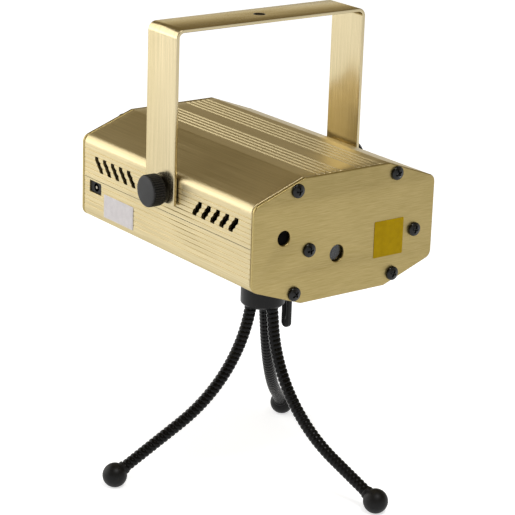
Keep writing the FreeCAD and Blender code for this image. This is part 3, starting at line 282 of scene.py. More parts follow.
def brushedGold(name, streak, colours, roughness, source="Object"):
    # Gold anodised aluminium, brushed: a satin metal under a clear oxide skin, with fine parallel
    # streaks that lighten and darken it. streak is the streak's size in mm along each axis;
    # real lines are about 0.1 mm wide and are drawn several times wider so that they show
    material, tree = newMaterial(name)
    place = addNode(tree, "TexCoord").outputs
    scale = tuple(1 / (size * mm) for size in streak)
    lay = addNode(tree, "Mapping", {"Scale": scale}, {"Vector": place[source]})
    lines = addNode(tree, "TexNoise", {"Scale": 1.0, "Detail": 3.0, "Roughness": 0.6}, {"Vector": lay})
    cloud = addNode(tree, "TexNoise", {"Scale": 1 / (28 * mm), "Detail": 2.0}, {"Vector": place["Object"]})
    blend = addNode(tree, "Math", {1: 0.18}, {0: cloud, 2: lines}, operation="MULTIPLY_ADD")
    tint = addNode(tree, "ValToRGB", links={"Fac": blend}, ramp=((0.36, colours[0]), (0.82, colours[1])))
    rough = addNode(tree, "MapRange", {"From Min": 0.3, "From Max": 0.7, "To Min": roughness[0],
                                       "To Max": roughness[1]}, {"Value": lines})
    relief = addNode(tree, "Bump", {"Strength": 0.12, "Distance": 0.05 * mm}, {"Height": lines})
    shader = addNode(tree, "BsdfPrincipled", {"Metallic": 1.0, "Specular Tint": linear("#eadcae"),
                                              "Coat Weight": 0.5, "Coat Roughness": 0.34},
                     {"Base Color": tint, "Roughness": rough, "Normal": relief})
    return closeMaterial(material, shader)


def patternedFinish(name, colours, stops, pattern, values, roughness=None, relief=None, grain=None):
    # What most surfaces here share: a faint pattern shades the colour between two tones, and may vary the
    # gloss; relief is the strength and height (mm) of a bump in the same pattern, or in a finer grain
    material, tree = newMaterial(name)
    place = addNode(tree, "TexCoord").outputs["Object"]
    marks = addNode(tree, "TexNoise", pattern, {"Vector": place})
    links = {"Base Color": addNode(tree, "ValToRGB", links={"Fac": marks}, ramp=zip(stops, colours))}
    if roughness:
        links["Roughness"] = addNode(tree, "MapRange", {"From Min": 0.3, "From Max": 0.7, "To Min": roughness[0],
                                                        "To Max": roughness[1]}, {"Value": marks})
    if relief:
        height = addNode(tree, "TexNoise", grain, {"Vector": place}) if grain else marks
        links["Normal"] = addNode(tree, "Bump", {"Strength": relief[0], "Distance": relief[1] * mm},
                                  {"Height": height})
    return closeMaterial(material, addNode(tree, "BsdfPrincipled", values, links))


def mouldedBlack(name, colours, roughness, grain, relief, sheen):
    # Black moulded plastic, rubber or coated metal: nearly black, with a fine grain that
    # breaks up its sheen. grain is the size of the grain in mm; sheen is the strength of its mirror skin
    return patternedFinish(name, colours, (0.35, 0.75), {"Scale": 1 / (9 * mm), "Detail": 3.0},
                           {"Specular IOR Level": sheen}, roughness, (relief, 0.08),
                           {"Scale": 1 / (grain * mm), "Detail": 4.0})


def workedMetal(name, colours, roughness, tool):
    # Turned, plated or cast metal: a plain metal with the faint marks of its making.
    # tool is the spacing of those marks in mm
    marks = {"Scale": 1 / (tool * mm), "Detail": 5.0, "Distortion": 0.6}
    return patternedFinish(name, colours, (0.3, 0.7), marks, {"Metallic": 1.0}, roughness, (0.1, 0.05))


def mouldedNylon(name, colours):
    # Natural nylon, moulded: milky and slightly see-through, with a soft sheen
    return patternedFinish(name, colours, (0.0, 1.0), {"Scale": 1 / (4 * mm), "Detail": 3.0},
                           {"Roughness": 0.42, "IOR": 1.53, "Subsurface Weight": 0.15,
                            "Subsurface Radius": (1 * mm, 1 * mm, 1 * mm)})


def plainVinyl(name, colours, roughness, sheen):
    # Self-adhesive vinyl label, unprinted: an even, faintly mottled colour with a soft gloss
    return patternedFinish(name, colours, (0.3, 0.7), {"Scale": 1 / (2.5 * mm), "Detail": 4.0},
                           {"Roughness": roughness, "Specular IOR Level": sheen}, relief=(0.06, 0.05))


def clearGlass(name, colour):
    # Float glass, polished: a clean mirror skin and the faintest smears; a coating darkens what is
    # seen through it
    material, tree = newMaterial(name)
    place = addNode(tree, "TexCoord").outputs
    smear = addNode(tree, "TexNoise", {"Scale": 1 / (3 * mm), "Detail": 2.0}, {"Vector": place["Object"]})
    rough = addNode(tree, "MapRange", {"From Min": 0.4, "From Max": 0.7, "To Min": 0.02, "To Max": 0.09},
                    {"Value": smear})
    shader = addNode(tree, "BsdfPrincipled", {"Base Color": linear(colour), "IOR": 1.52,
                                              "Transmission Weight": 1.0}, {"Roughness": rough})
    return closeMaterial(material, shader)


def solderMask(name, colours):
    # Fibreglass circuit board under solder mask: glossy, with lighter tracks in 5 mm cells
    material, tree = newMaterial(name)
    place = addNode(tree, "TexCoord").outputs
    cells = addNode(tree, "TexVoronoi", {"Scale": 1 / (5 * mm), "Randomness": 0.6}, {"Vector": place["Object"]},
                    feature="F1", distance="CHEBYCHEV")
    tracks = addNode(tree, "Math", {1: 60.0}, {0: cells}, operation="MULTIPLY")
    wave = addNode(tree, "Math", links={0: tracks}, operation="SINE")
    tint = addNode(tree, "ValToRGB", links={"Fac": wave}, ramp=((0.45, colours[0]), (0.6, colours[1])))
    shader = addNode(tree, "BsdfPrincipled", {"Roughness": 0.3, "IOR": 1.5}, {"Base Color": tint})
    return closeMaterial(material, shader)


fine, short, long = 0.4, 8.0, 45.0                # drawn width and lengths of brushing lines, mm
goldShell = brushedGold("brushedGoldShell", (fine, long, fine), ("#b0a27c", "#cdbf98"), (0.32, 0.44))
goldPlate = brushedGold("brushedGoldPlate", (short, fine, fine), ("#92814a", "#ae9b67"), (0.34, 0.48))
goldStrap = brushedGold("brushedGoldStrap", (long, fine, 1), ("#aea07c", "#cbbd99"), (0.16, 0.24), source="UV")
blackOxide = mouldedBlack("blackOxide", ("#060606", "#0b0a0a"), (0.07, 0.12), 0.4, 0.05, sheen=0.3)
knobPlastic = mouldedBlack("knobPlastic", ("#121111", "#191817"), (0.45, 0.58), 0.5, 0.25, sheen=0.35)
headPlastic = mouldedBlack("headPlastic", ("#0b0b0c", "#121213"), (0.38, 0.5), 0.6, 0.2, sheen=0.22)
neckCoating = mouldedBlack("neckCoating", ("#060606", "#0c0c0c"), (0.16, 0.24), 0.5, 0.12, sheen=0.13)
micFelt = mouldedBlack("micFelt", ("#040404", "#070707"), (0.8, 0.9), 0.5, 0.3, sheen=0.08)
footRubber = mouldedBlack("footRubber", ("#0a0a0b", "#111112"), (0.4, 0.55), 0.5, 0.2, sheen=0.2)
casePlastic = mouldedBlack("casePlastic", ("#0a0a0b", "#111112"), (0.3, 0.42), 0.6, 0.2, sheen=0.12)
platedSteel = workedMetal("platedSteel", ("#a9abaf", "#c6c8cb"), (0.2, 0.34), 1.2)
turnedBrass = workedMetal("turnedBrass", ("#b48c3e", "#cda956"), (0.24, 0.36), 1.0)
bareAluminium = workedMetal("bareAluminium", ("#b3b5b8", "#cdcfd1"), (0.34, 0.5), 2.2)
motorCan = workedMetal("motorCan", ("#86878b", "#a5a6a9"), (0.3, 0.42), 1.8)
# Dark brown metal that paints the shade inside the bracket bar's hole
paintedBoreShade = workedMetal("paintedBoreShade", ("#2e2617", "#453a25"), (0.2, 0.3), 0.6)
brightContact = workedMetal("brightContact", ("#8f8878", "#a9a393"), (0.2, 0.32), 0.8)
nylon = mouldedNylon("naturalNylon", ("#d6d2c4", "#ebe8dd"))
glass = clearGlass("clearGlass", "#eef3f2")
coatedGlass = clearGlass("coatedGlass", "#6d7580")
board = solderMask("solderMask", ("#123f26", "#1f5c39"))
yellowVinyl = plainVinyl("yellowVinyl", ("#ad8c02", "#ba9805"), 0.35, 0.06)
whiteVinyl = plainVinyl("whiteVinyl", ("#d2cccb", "#ded8d7"), 0.45, 0.5)

finishes = {
    goldShell: "upper_shell lower_shell",
    goldPlate: "front_plate rear_plate",
    goldStrap: "bracket",
    blackOxide: "front_plate_screws rear_plate_screws left_washer right_washer",
    knobPlastic: "left_knob right_knob speed_knob",
    platedSteel: "left_knob_stud right_knob_stud pivot_nuts motor_shaft wheel_clip "
                 "board_screws left_leg_core right_leg_core rear_leg_core tripod_stud",
    nylon: "pivot_spacers ball_seat motor_pinion grating_wheel board_standoffs",
    turnedBrass: "tripod_insert green_laser red_laser",
    headPlastic: "tripod_hub hub_cap lock_lever",
    neckCoating: "left_leg right_leg rear_leg leg_roots",
    footRubber: "left_foot right_foot rear_foot",
    micFelt: "microphone_grommet microphone",
    coatedGlass: "aperture_window",
    glass: "beam_combiner grating_film",
    casePlastic: "window_ring mode_switch switch_slider fan_frame fan_rotor power_inlet board_parts",
    bareAluminium: "optics_chassis green_laser_block red_laser_block",
    motorCan: "drive_motor speed_control",
    board: "main_board",
    brightContact: "power_inlet_pin",
}
for material, names in finishes.items():
    for name in names.split():
        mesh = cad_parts[name].data
        mesh.materials.clear()
        mesh.materials.append(material)
print("materials on", len(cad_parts), "nodes")


# Housing shells

shell = {
    "wall": 1.4, "seam": 0.1,                              # wall, and half the gap between the halves
    "sideRound": 4.0, "ridgeX": 21.4, "ridgeRound": 1.5,   # shoulder round, top edge and its round
    "shoulderZ": 17.16,                                    # sharp shoulder corner above the seam
    "flutes": 6, "flutePitch": 2.05, "fluteHalf": 0.2, "fluteDepth": 0.22,
    "endRound": 0.35, "endGap": 0.2, "endNotch": 0.9,      # ends' round, gap to the plates, nicks at the flutes
    "lineGroups": (-8.6, 11.6), "lines": 5, "linePitch": 2.7, "lineHalf": 0.66, "lineDepth": 0.52,
    "vents": 5, "ventPitch": 6.2, "ventFirst": 24.05, "ventHeight": 7.05, "ventLength": 8.23, "ventWidth": 2.2,
    "ventScallop": 0.48, "ventRound": 0.8, "ventLean": 5.3, "ventRise": 6.3,
    "inletY": (46.9, 56.1), "inletZ": (0.8, 6.0), "inletRound": 0.3,
    "sideSteps": 10, "ridgeSteps": 5, "roofSteps": 9, "endSteps": 5, "columnGap": 9,     # fineness of the grid
}


def grooveDepth(across, middles, half, depth):
    # Depth below the face of V-shaped grooves
    gap = np.abs(across[:, None] - middles[None, :]).min(1)
    return depth * np.maximum(0, 1 - gap / half)


def grooveRows(middles, half):
    # Both edges and the bottom of each groove
    return (middles[:, None] + half * np.array([-1, 0, 1])[None, :]).reshape(-1)


def ventOutline(middle, lean):
    # Slanted slot with rounded ends, (y, z) from the housing's middle; lean is +1 or -1
    half, side = shell["ventLength"] / 2, shell["ventWidth"] / 2
    flat = rectangle((-half, half), (-side, side), shell["ventRound"])
    run, rise = shell["ventLean"] / shell["ventLength"], shell["ventRise"] / shell["ventLength"]
    y = flat[:, 0] * run - flat[:, 1] * rise
    z = flat[:, 0] * rise + flat[:, 1] * run
    return np.stack([lean * y + middle, z + shell["ventHeight"]], -1)


def shellOpenings(up):
    # Outlines, and the sides they are cut in: vents in the upper half, the power inlet in the lower one
    if not up:
        return [(rectangle(shell["inletY"], shell["inletZ"], shell["inletRound"]), (-1,))]
    away = shell["ventFirst"] + shell["ventPitch"] * np.arange(shell["vents"])
    vents = [(ventOutline(lean * y, lean), (-1, 1)) for lean in (-1, 1) for y in away]
    return sorted(vents, key=lambda vent: vent[0][:, 0].mean())


def openingEdges(outline, height):
    # Lowest and highest y of a convex outline at each height; past its ends both stay at the end's own y
    bottom, top = outline[:, 1].min(), outline[:, 1].max()
    levels = np.clip(height, bottom, top)
    low, high = np.full(len(height), np.inf), np.full(len(height), -np.inf)
    for a, b in zip(outline, np.roll(outline, -1, 0)):
        if abs(a[1] - b[1]) < tiny:
            on = np.abs(levels - a[1]) < tiny
            least, most = min(a[0], b[0]), max(a[0], b[0])
        else:
            t = (levels - a[1]) / (b[1] - a[1])
            on = (t >= -tiny) & (t <= 1 + tiny)
            least = most = a[0] + t * (b[0] - a[0])
        low = np.where(on, np.minimum(low, least), low)
        high = np.where(on, np.maximum(high, most), high)
    return low, high, (height >= bottom - tiny) & (height <= top + tiny)


def shellProfile(up, openings):
    # Half section from the right seam over the top to the left seam: each point's place (x, z), outward
    # direction, depth of its groove, and side (1 right, 0 top, -1 left)
    size = shell
    slope = math.atan2(bodyHalf[0] - size["ridgeX"], bodyHalf[2] - size["shoulderZ"])
    sideEnd = size["shoulderZ"] - size["sideRound"] * math.tan(slope / 2)
    topEnd = size["ridgeX"] - size["ridgeRound"] * math.tan((math.pi / 2 - slope) / 2)
    flutes = size["flutePitch"] * (np.arange(size["flutes"]) + 1)
    tips = [z for opening in openings for z in (opening[0][:, 1].min(), opening[0][:, 1].max())]
    rows = np.concatenate([[size["seam"], sideEnd], tips, grooveRows(flutes, size["fluteHalf"]),
                           flutes + size["flutePitch"] / 2])
    rows = np.unique(np.round(rows[(rows >= size["seam"]) & (rows <= sideEnd)], 6))
    middles = np.concatenate([g + size["linePitch"] * (np.arange(size["lines"]) - size["lines"] // 2)
                              for g in size["lineGroups"]])
    across = np.linspace(topEnd, -topEnd, size["roofSteps"])
    if up:
        across = np.unique(np.concatenate([across, grooveRows(middles, size["lineHalf"])]))[::-1]

    bend = np.linspace(0, slope, size["sideSteps"])[1:]
    crest = np.linspace(slope, math.pi / 2, size["ridgeSteps"])
    bendMid = np.array([bodyHalf[0] - size["sideRound"], sideEnd])
    crestMid = np.array([topEnd, bodyHalf[2] - size["ridgeRound"]])
    around = np.concatenate([np.zeros(len(rows)), bend, crest])
    normal = np.stack([np.cos(around), np.sin(around)], -1)
    flank = np.concatenate([np.stack([np.full(len(rows), bodyHalf[0]), rows], -1),
                            bendMid + size["sideRound"] * normal[len(rows):len(rows) + len(bend)],
                            crestMid + size["ridgeRound"] * normal[-len(crest):]])
    sink = np.concatenate([grooveDepth(rows, flutes, size["fluteHalf"], size["fluteDepth"]),
                           np.zeros(len(bend) + len(crest))])
    roof = np.stack([across, np.full(len(across), bodyHalf[2])], -1)[1:-1]
    roofSink = grooveDepth(across, middles, size["lineHalf"], size["lineDepth"])[1:-1] * up
    flip = np.array([-1, 1])
    base = np.concatenate([flank, roof, flank[::-1] * flip])
    facing = np.concatenate([normal, np.tile([0, 1], (len(roof), 1)), normal[::-1] * flip])
    depth = np.concatenate([sink, roofSink, sink[::-1]])
    side = np.concatenate([np.ones(len(flank)), np.zeros(len(roof)), -np.ones(len(flank))])
    return base, facing, depth, side


def walled(skin, lining, faces):
    # Two matching sheets joined by a wall round every open edge; points that fall together become one
    keys = np.round(np.concatenate([skin, lining], 1), 5)
    first, same = np.unique(keys, axis=0, return_index=True, return_inverse=True)[1:]
    skin, lining, faces = skin[first], lining[first], same.reshape(-1)[faces]
    faces = faces[(faces == np.roll(faces, -1, 1)).sum(1) < 2]
    edges = np.stack([faces, np.roll(faces, -1, 1)], -1).reshape(-1, 2)
    edges = edges[edges[:, 0] != edges[:, 1]]
    which, uses = np.unique(np.sort(edges, 1), axis=0, return_inverse=True, return_counts=True)[1:]
    rim = edges[(uses == 1)[which.reshape(-1)]]
    total = len(skin)
    walls = np.stack([rim[:, 1], rim[:, 0], rim[:, 0] + total, rim[:, 1] + total], -1)
    return np.concatenate([skin, lining]), np.concatenate([faces, faces[:, ::-1] + total, walls])


def shellShape(up):
    # Half section carried along the housing. Openings are strips whose two edges follow the opening's
    # outline row by row; the inner wall is the section moved in along its normals
    size, openings = shell, shellOpenings(up)
    base, facing, depth, side = shellProfile(up, openings)
    shut = np.zeros(len(base), bool)
    tip, end = size["endRound"], bodyHalf[1] - size["endGap"]
    lead = end - tip * (1 - np.cos(np.linspace(0, np.pi / 2, size["endSteps"])))[:-1]
    columns, gaps = [np.tile(-lead, (len(base), 1))], [shut] * len(lead)
    last = np.full(len(base), tip - end)
    for outline, where in openings + [(None, ())]:
        if outline is None:
            low = high = np.full(len(base), end - tip)
            inside = shut
        else:
            low, high, inside = openingEdges(outline, base[:, 1])
            inside &= np.isin(side, where)
            wave = 0.5 + 0.5 * np.cos(2 * np.pi * base[:, 1] / size["flutePitch"])
            bulge = up * inside * size["ventScallop"] * wave
            low, high = low - bulge, high + bulge
        count = max(1, int(np.ceil((low - last).max() / size["columnGap"])))
        t = np.linspace(0, 1, count + 1)[None, :]
        columns.append(last[:, None] * (1 - t) + low[:, None] * t)
        gaps += [shut] * count + [inside]
        last = high
    y = np.concatenate(columns + [np.tile(lead[::-1], (len(base), 1))], 1)
    gaps = np.stack((gaps[:-1] + [shut] * len(lead))[:y.shape[1] - 1], 1)

    into = np.clip(np.abs(y) - end + tip, 0, tip)
    curl = tip - np.sqrt(tip ** 2 - into ** 2)
    curl += size["endNotch"] * ((side != 0) & (depth > 0))[:, None] * (y > end - tip)

    def sheet(sunk):
        x = base[:, :1] - facing[:, :1] * sunk
        z = bodyMid[2] + (1 if up else -1) * (base[:, 1:] - facing[:, 1:] * sunk)
        return np.stack([x, y + bodyMid[1], z], -1).reshape(-1, 3)

    faces = gridQuads(*y.shape)[~(gaps[:-1] & gaps[1:]).reshape(-1)]
    return walled(sheet(depth[:, None] + curl), sheet(size["wall"] + 0 * y), faces)


addPiece("upperShell", shellShape(True), goldShell, "housing", ["upper_shell"], sharpAngle=28)
addPiece("lowerShell", shellShape(False), goldShell, "housing", ["lower_shell"], sharpAngle=28)
print("housing shells made")


# End plates

plate = {
    "edge": 0.5, "edgeSteps": 2, "cornerRound": 3.6, "ridgeRound": 1.5, "cornerSteps": 9,
    "micSpot": (-31.0, 2.7), "micRadius": 3.0, "lensSpot": (-4.0, -7.9), "lensRadius": 3.5, "holeSides": 64,
    "grilleRadius": 1.7, "grillePitch": 5.2, "grilleRings": 3, "grilleSides": 32,
    "dialSpot": (33.0, -12.0), "dialRadius": 3.65, "slideX": (-36.75, -29.25), "slideZ": (-13.75, -10.25),
}


def plateShape(loops, thickness):
    # Flat outline with holes, filled and given its thickness with rounded edges, then made a mesh
    edge = plate["edge"]
    curve = bpy.data.curves.new("plateOutline", "CURVE")
    curve.dimensions, curve.fill_mode = "2D", "BOTH"
    curve.extrude, curve.bevel_depth, curve.offset = (thickness / 2 - edge) * mm, edge * mm, -edge * mm
    curve.bevel_resolution = plate["edgeSteps"]
    for loop in loops:
        spline = curve.splines.new("POLY")
        spline.points.add(len(loop) - 1)
        flat = np.concatenate([loop * mm, np.zeros((len(loop), 1)), np.ones((len(loop), 1))], 1)
        spline.points.foreach_set("co", flat.reshape(-1))
        spline.use_cyclic_u = True
    holder = addObject("plateOutline", curve)
    mesh = finishedMesh(holder)
    points = np.empty(len(mesh.vertices) * 3)
    mesh.vertices.foreach_get("co", points)
    faces = [tuple(face.vertices) for face in mesh.polygons]
    bpy.data.objects.remove(holder)
    return points.reshape(-1, 3) / mm, faces


def plateOutline():
    # Eight-sided outline of the housing's end
    quarter = [(bodyHalf[0], shell["shoulderZ"], plate["cornerRound"]),
               (shell["ridgeX"], bodyHalf[2], plate["ridgeRound"])]
    upper = quarter + [(-a, b, r) for a, b, r in quarter[::-1]]
    return filletPath(upper + [(-a, -b, r) for a, b, r in upper], steps=plate["cornerSteps"])


def addPlate(name, holes, stands):
    low, high = boxOf(stands)
    points, faces = plateShape([plateOutline()] + holes, high[1] - low[1])
    placed = np.stack([points[:, 0], points[:, 2] + midOf(stands)[1], points[:, 1] + bodyMid[2]], -1)
    addPiece(name, (placed, faces), goldPlate, "housing", [stands], sharpAngle=50)


def roundHole(kind):
    return circle(plate[kind + "Spot"], plate[kind + "Radius"], plate["holeSides"])


# The grille's holes stand in rings of six, twelve and eighteen round a middle one
grilleSpots = [(0, 0)]
for ring in range(1, plate["grilleRings"] + 1):
    grilleSpots += list(circle((0, 0), ring * plate["grillePitch"], 6 * ring))
grille = [circle(spot, plate["grilleRadius"], plate["grilleSides"]) for spot in grilleSpots]
addPlate("frontPlate", [roundHole("mic"), roundHole("lens")], "front_plate")
addPlate("rearPlate", grille + [roundHole("dial"), rectangle(plate["slideX"], plate["slideZ"])], "rear_plate")
print("end plates made")


# Screws

screw = {
    "radius": 2.9, "height": 1.7, "edge": 0.5, "crown": 0.6, "edgeSteps": 6,
    "crossLength": 3.2, "crossWidth": 0.85, "crossDepth": 0.95,
    "crossRings": ((0, 1), (0.55, 0.85), (0.82, 0.6)),     # shares of the cross's outline and of its depth
    "crownRings": (0, 0.35, 0.7),                          # shares of the way from the cross to the edge
    "shank": 1.4, "shankLength": 4.0, "firstTurn": 0.5, "nextTurn": 1.1,
    "front": ((25.2, 21.3), (-25.2, 21.3), (25.2, -21.3), (-25.2, -21.3), (-18.5, -4.1), (35.9, -4.1)),
    "rear": ((25.2, 21.3), (-25.2, 21.3), (25.2, -21.3), (-25.2, -21.3),
             (16, 16), (-16, 16), (16, -16), (-16, -16)),
}


def screwShape():
    # Pan head on a polar grid whose inner rings follow the edge of the cross recess:
    # along an arm that edge is straight, so its distance from the middle is a width over a sine
    size = screw
    arm, half = size["crossLength"] / 2, size["crossWidth"] / 2
    corner = math.atan2(half, arm)
    fan = np.concatenate([np.linspace(-np.pi / 4, -corner, 7)[:-1], np.linspace(-corner, corner, 5),
                          np.linspace(corner, np.pi / 4, 7)[1:-1]])
    angle = (fan[None, :] + np.arange(4)[:, None] * np.pi / 2).reshape(-1)
    off = np.tile(np.abs(fan), 4)
    cross = np.where(off <= corner, arm / np.cos(off), half / np.sin(np.maximum(off, corner)))
    turn = np.linspace(0, np.pi / 2, size["edgeSteps"])
    rim = size["radius"] - size["edge"] * (1 - np.sin(turn))
    top = size["height"] - size["crown"] - size["edge"] * (1 - np.cos(turn))
    rings = [(share * cross, size["height"] - deep * size["crossDepth"]) for share, deep in size["crossRings"]]
    for share in size["crownRings"]:
        r = cross + share * (rim[0] - cross)
        rings.append((r, size["height"] - size["crown"] * (r / rim[0]) ** 2))
    rings += zip(rim, top)
    shank, foot = size["shank"], -size["shankLength"]
    rings += [(size["radius"], 0), (shank, 0), (shank, foot), (0, foot)]
    radius = np.stack([r + 0 * angle for r, z in rings])
    height = np.stack([z + 0 * angle for r, z in rings])
    points = np.stack([radius * np.cos(angle), radius * np.sin(angle), height], -1)
    return points.reshape(-1, 3), gridQuads(len(rings), len(angle), closed=True)


def addScrews(name, spots, y, outward, stands):
    points, faces = screwShape()
    heads = []
    for k, (x, z) in enumerate(spots):
        turn = screw["firstTurn"] + screw["nextTurn"] * k
        heads.append((standAlong(points, (x, y, bodyMid[2] + z), (0, outward, 0), turn), faces))
    addPiece(name, together(heads), blackOxide, "housing", [stands], sharpAngle=35)


addScrews("frontPlateScrews", screw["front"], frontFace, -1, "front_plate_screws")
addScrews("rearPlateScrews", screw["rear"], rearFace, 1, "rear_plate_screws")
print("screws made")


# Bracket strap

# One depth here sets how thick the dark ring is that paints the shade inside the bar's hole
strap = {"width": 20.6, "thickness": 1.5, "bend": 2.2, "bendSteps": 12, "edge": 0.3, "edgeSteps": 4,
         "holeRadius": 2.6, "holeSides": 48, "holeLength": 10, "shadeRingDepth": 0.25, "pivotRadius": 2.55,
         "edgeStretch": 3}                                 # how much wider brushing lies across the edges


def strapShape():
    # Rounded flat section carried along a U: up one arm, round the bend, across, and down the other arm.
    # Its UV is the distance along the strap and round the section, in metres
    low, high = boxOf("bracket")
    half, top = high[0], high[2]
    outer = strap["bend"] + strap["thickness"]
    path = filletPath([(-half, low[2]), (-half, top, outer), (half, top, outer), (half, low[2])],
                      closed=False, steps=strap["bendSteps"])
    steps = np.diff(path, axis=0)
    ahead = np.concatenate([steps[:1], steps[:-1] + steps[1:], steps[-1:]])
    ahead /= np.linalg.norm(ahead, axis=1)[:, None]
    inward = np.stack([ahead[:, 1], -ahead[:, 0]], -1)
    w = strap["width"] / 2
    section = rectangle((-w, w), (0, strap["thickness"]), strap["edge"], strap["edgeSteps"])
    x = path[:, :1] + inward[:, :1] * section[None, :, 1]
    z = path[:, 1:] + inward[:, 1:] * section[None, :, 1]
    y = midOf("bracket")[1] + section[None, :, 0] + 0 * x
    body = np.stack([x, y, z], -1)
    ends = body.mean(1, keepdims=True) + 0 * body
    points = np.concatenate([ends[:1], body, ends[-1:]])
    run = np.concatenate([[0], np.cumsum(np.linalg.norm(steps, axis=1))])
    run = np.concatenate([run[:1], run, run[-1:]])
    around = section[:, 0] + strap["edgeStretch"] * section[:, 1]
    uv = np.stack(np.broadcast_arrays(run[:, None], around[None, :]), -1)
    faces = gridQuads(len(points), len(section), closed=True)
    return (points.reshape(-1, 3), faces), uv.reshape(-1, 2) * mm


def boreShadeRing(spot):
    # Painted shade in the bar's hole: a thin dark turned ring lining its wall, flush with both faces, stands for
    # the shade inside the bore
    outer, height = strap["holeRadius"], strap["thickness"]
    inner = outer - strap["shadeRingDepth"]
    profile = np.array([(inner, -height), (outer, -height), (outer, 0), (inner, 0), (inner, -height)])
    return lathe(profile, strap["holeSides"], spot=spot)


strapSurface, strapUv = strapShape()
bracketPiece = addPiece("bracketStrap", strapSurface, goldStrap, "", ["bracket"], uv=strapUv)
pivotSpot = np.array([0, *midOf("left_washer")[1:]])
holeSpot = (0, pivotSpot[1], boxOf("bracket")[1][2])
drill(bracketPiece, [(holeSpot, (0, 0, 1), strap["holeRadius"], strap["holeLength"]),
                     (pivotSpot, (1, 0, 0), strap["pivotRadius"], 4 * bodyHalf[0])], strap["holeSides"])
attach(bracketPiece, "bracket")
# Dark ring lining the bar's hole: painted shade of the bore's wall
addPiece("bracketBoreShade", boreShadeRing(holeSpot), paintedBoreShade, "bracket")
print("bracket made")


# Hand knobs and speed knob

knob = {"round": 0.9, "shoulder": 0.7, "footRound": 0.25, "shoulderRound": 0.4, "crown": 0.25, "crownRings": 9,
        "knurls": 40, "knurlDepth": 0.42, "knurlFade": 0.55, "knurlFrom": 0.2, "sidesPerKnurl": 8,
        "gripFrom": 0.5, "gripRows": 8}
dial = {"round": 0.7, "skirt": 0.6, "skirtRim": (1.2, 0.3), "skirtTop": 1.6, "smallRound": 0.2,
        "flutes": 18, "fluteDepth": 0.35, "fluteFrom": 1.9, "fluteFade": (1.4, 0.6), "sidesPerFlute": 12,
        "gripFrom": 2.0, "gripRows": 6, "notch": 0.5, "notchWidth": 0.06}


def withGrip(profile, radius, start, end, rows):
    # More points up the straight side of a profile, where it is gripped
    at = int(np.argmax(profile[:, 1] > start))
    grip = np.stack([np.full(rows, radius), np.linspace(start, end, rows)], -1)
    return np.concatenate([profile[:at], grip, profile[at:]])


def knobShape(radius, height):
    # Turned profile with rounded edges and a slightly crowned face; the grip's radius dips at each knurl
    size, rim, shoulder = knob, knob["round"], knob["shoulder"]
    edge, flat = height - size["crown"], radius - rim
    side = filletPath([(0, 0), (radius - shoulder, 0, size["footRound"]), (radius, shoulder, size["shoulderRound"]),
                       (radius, edge, rim), (0, edge)], closed=False, steps=6)[:-1]
    inward = np.linspace(flat, 0, size["crownRings"])[1:, None]
    crown = edge + size["crown"] * (1 - (inward / flat) ** 2)
    profile = np.concatenate([side, np.concatenate([inward, crown], 1)])
    profile = withGrip(profile, radius, shoulder + size["gripFrom"], height - rim, size["gripRows"])

    def knurl(line, angle):
        fade = size["knurlFade"]
        on = np.clip((line[:, :1] - radius + fade) / fade, 0, 1) * (line[:, 1:] > size["knurlFrom"])
        return -size["knurlDepth"] * on * (0.5 + 0.5 * np.cos(size["knurls"] * angle)) ** 2

    return lathe(profile, size["knurls"] * size["sidesPerKnurl"], knurl)


def dialShape(radius, height):
    # Fluted turned profile with a wider skirt; one notch points outwards
    size, small = dial, dial["smallRound"]
    grip = radius - size["skirt"]
    profile = filletPath([(0, 0), (radius, 0, small), (radius, *size["skirtRim"]), (grip, size["skirtTop"], small),
                          (grip, height, size["round"]), (0, height)], closed=False, steps=6)
    profile = withGrip(profile, grip, size["gripFrom"], height - size["round"], size["gripRows"])

    def flute(line, angle):
        inset, fade = size["fluteFade"]
        on = (line[:, 1:] > size["fluteFrom"]) * np.clip((line[:, :1] - radius + inset) / fade, 0, 1)
        pointer = size["notch"] * np.exp(-((angle - np.pi / 2) / size["notchWidth"]) ** 2)
        return -on * (size["fluteDepth"] * (0.5 + 0.5 * np.cos(size["flutes"] * angle)) ** 2 + pointer)

    return lathe(profile, size["flutes"] * size["sidesPerFlute"], flute)


for side, sign in (("left", -1), ("right", 1)):
    low, high = boxOf(side + "_knob")
    points, faces = knobShape((high[2] - low[2]) / 2, high[0] - low[0])
    spot = (low[0] if sign > 0 else high[0], pivotSpot[1], pivotSpot[2])
    shape = standAlong(points, spot, (sign, 0, 0)), faces
    addPiece(side + "HandKnob", shape, knobPlastic, side + "_knob", [side + "_knob"], sharpAngle=55)

low, high = boxOf("speed_knob")
points, faces = dialShape((high[0] - low[0]) / 2, high[1] - low[1])
middle = midOf("speed_knob")
shape = standAlong(points, (middle[0], low[1], middle[2]), (0, 1, 0)), faces
addPiece("speedKnob", shape, knobPlastic, "speed_knob", ["speed_knob"], sharpAngle=50)
print("knobs made")


# Tripod head

hubLow, hubHigh = boxOf("tripod_hub")
head = {"radius": 9.5, "chamfer": 1.2, "chamferRound": 0.5, "round": 0.45, "sides": 72,
        "seatRadius": 6.05, "seatDepth": 5.65, "seatRound": 0.15, "lugWidth": 9.0, "lugRound": 1.2, "lugDrop": 0.4,
        "capBore": 4.0, "capRound": 0.7, "capFootRound": 0.1, "capBoreRound": 0.3}
lever = {"boss": 4.4, "bossRound": 4.2, "waist": 3.4, "taper": 5.0, "half": 2.35, "round": 2.1, "length": 22.6,
         "edge": 0.55, "gap": 0.1, "dishDepth": 0.8, "dishHalf": (1.35, 5.6), "dishDrop": 13.4, "dishPower": 0.6}


def hubShape():
    # Turned drum with a cup for the ball's seat in its top
    height = hubHigh[2] - hubLow[2]
    r, c, bend = head["radius"], head["chamfer"], head["chamferRound"]
    seat, small, floor = head["seatRadius"], head["seatRound"], height - head["seatDepth"]
    profile = filletPath([(0, 0), (r - c, 0, bend), (r, c, bend), (r, height, head["round"]),
                          (seat, height, small), (seat, floor, small), (0, floor)], closed=False, steps=5)
    return lathe(profile, head["sides"], spot=(0, 0, hubLow[2]))


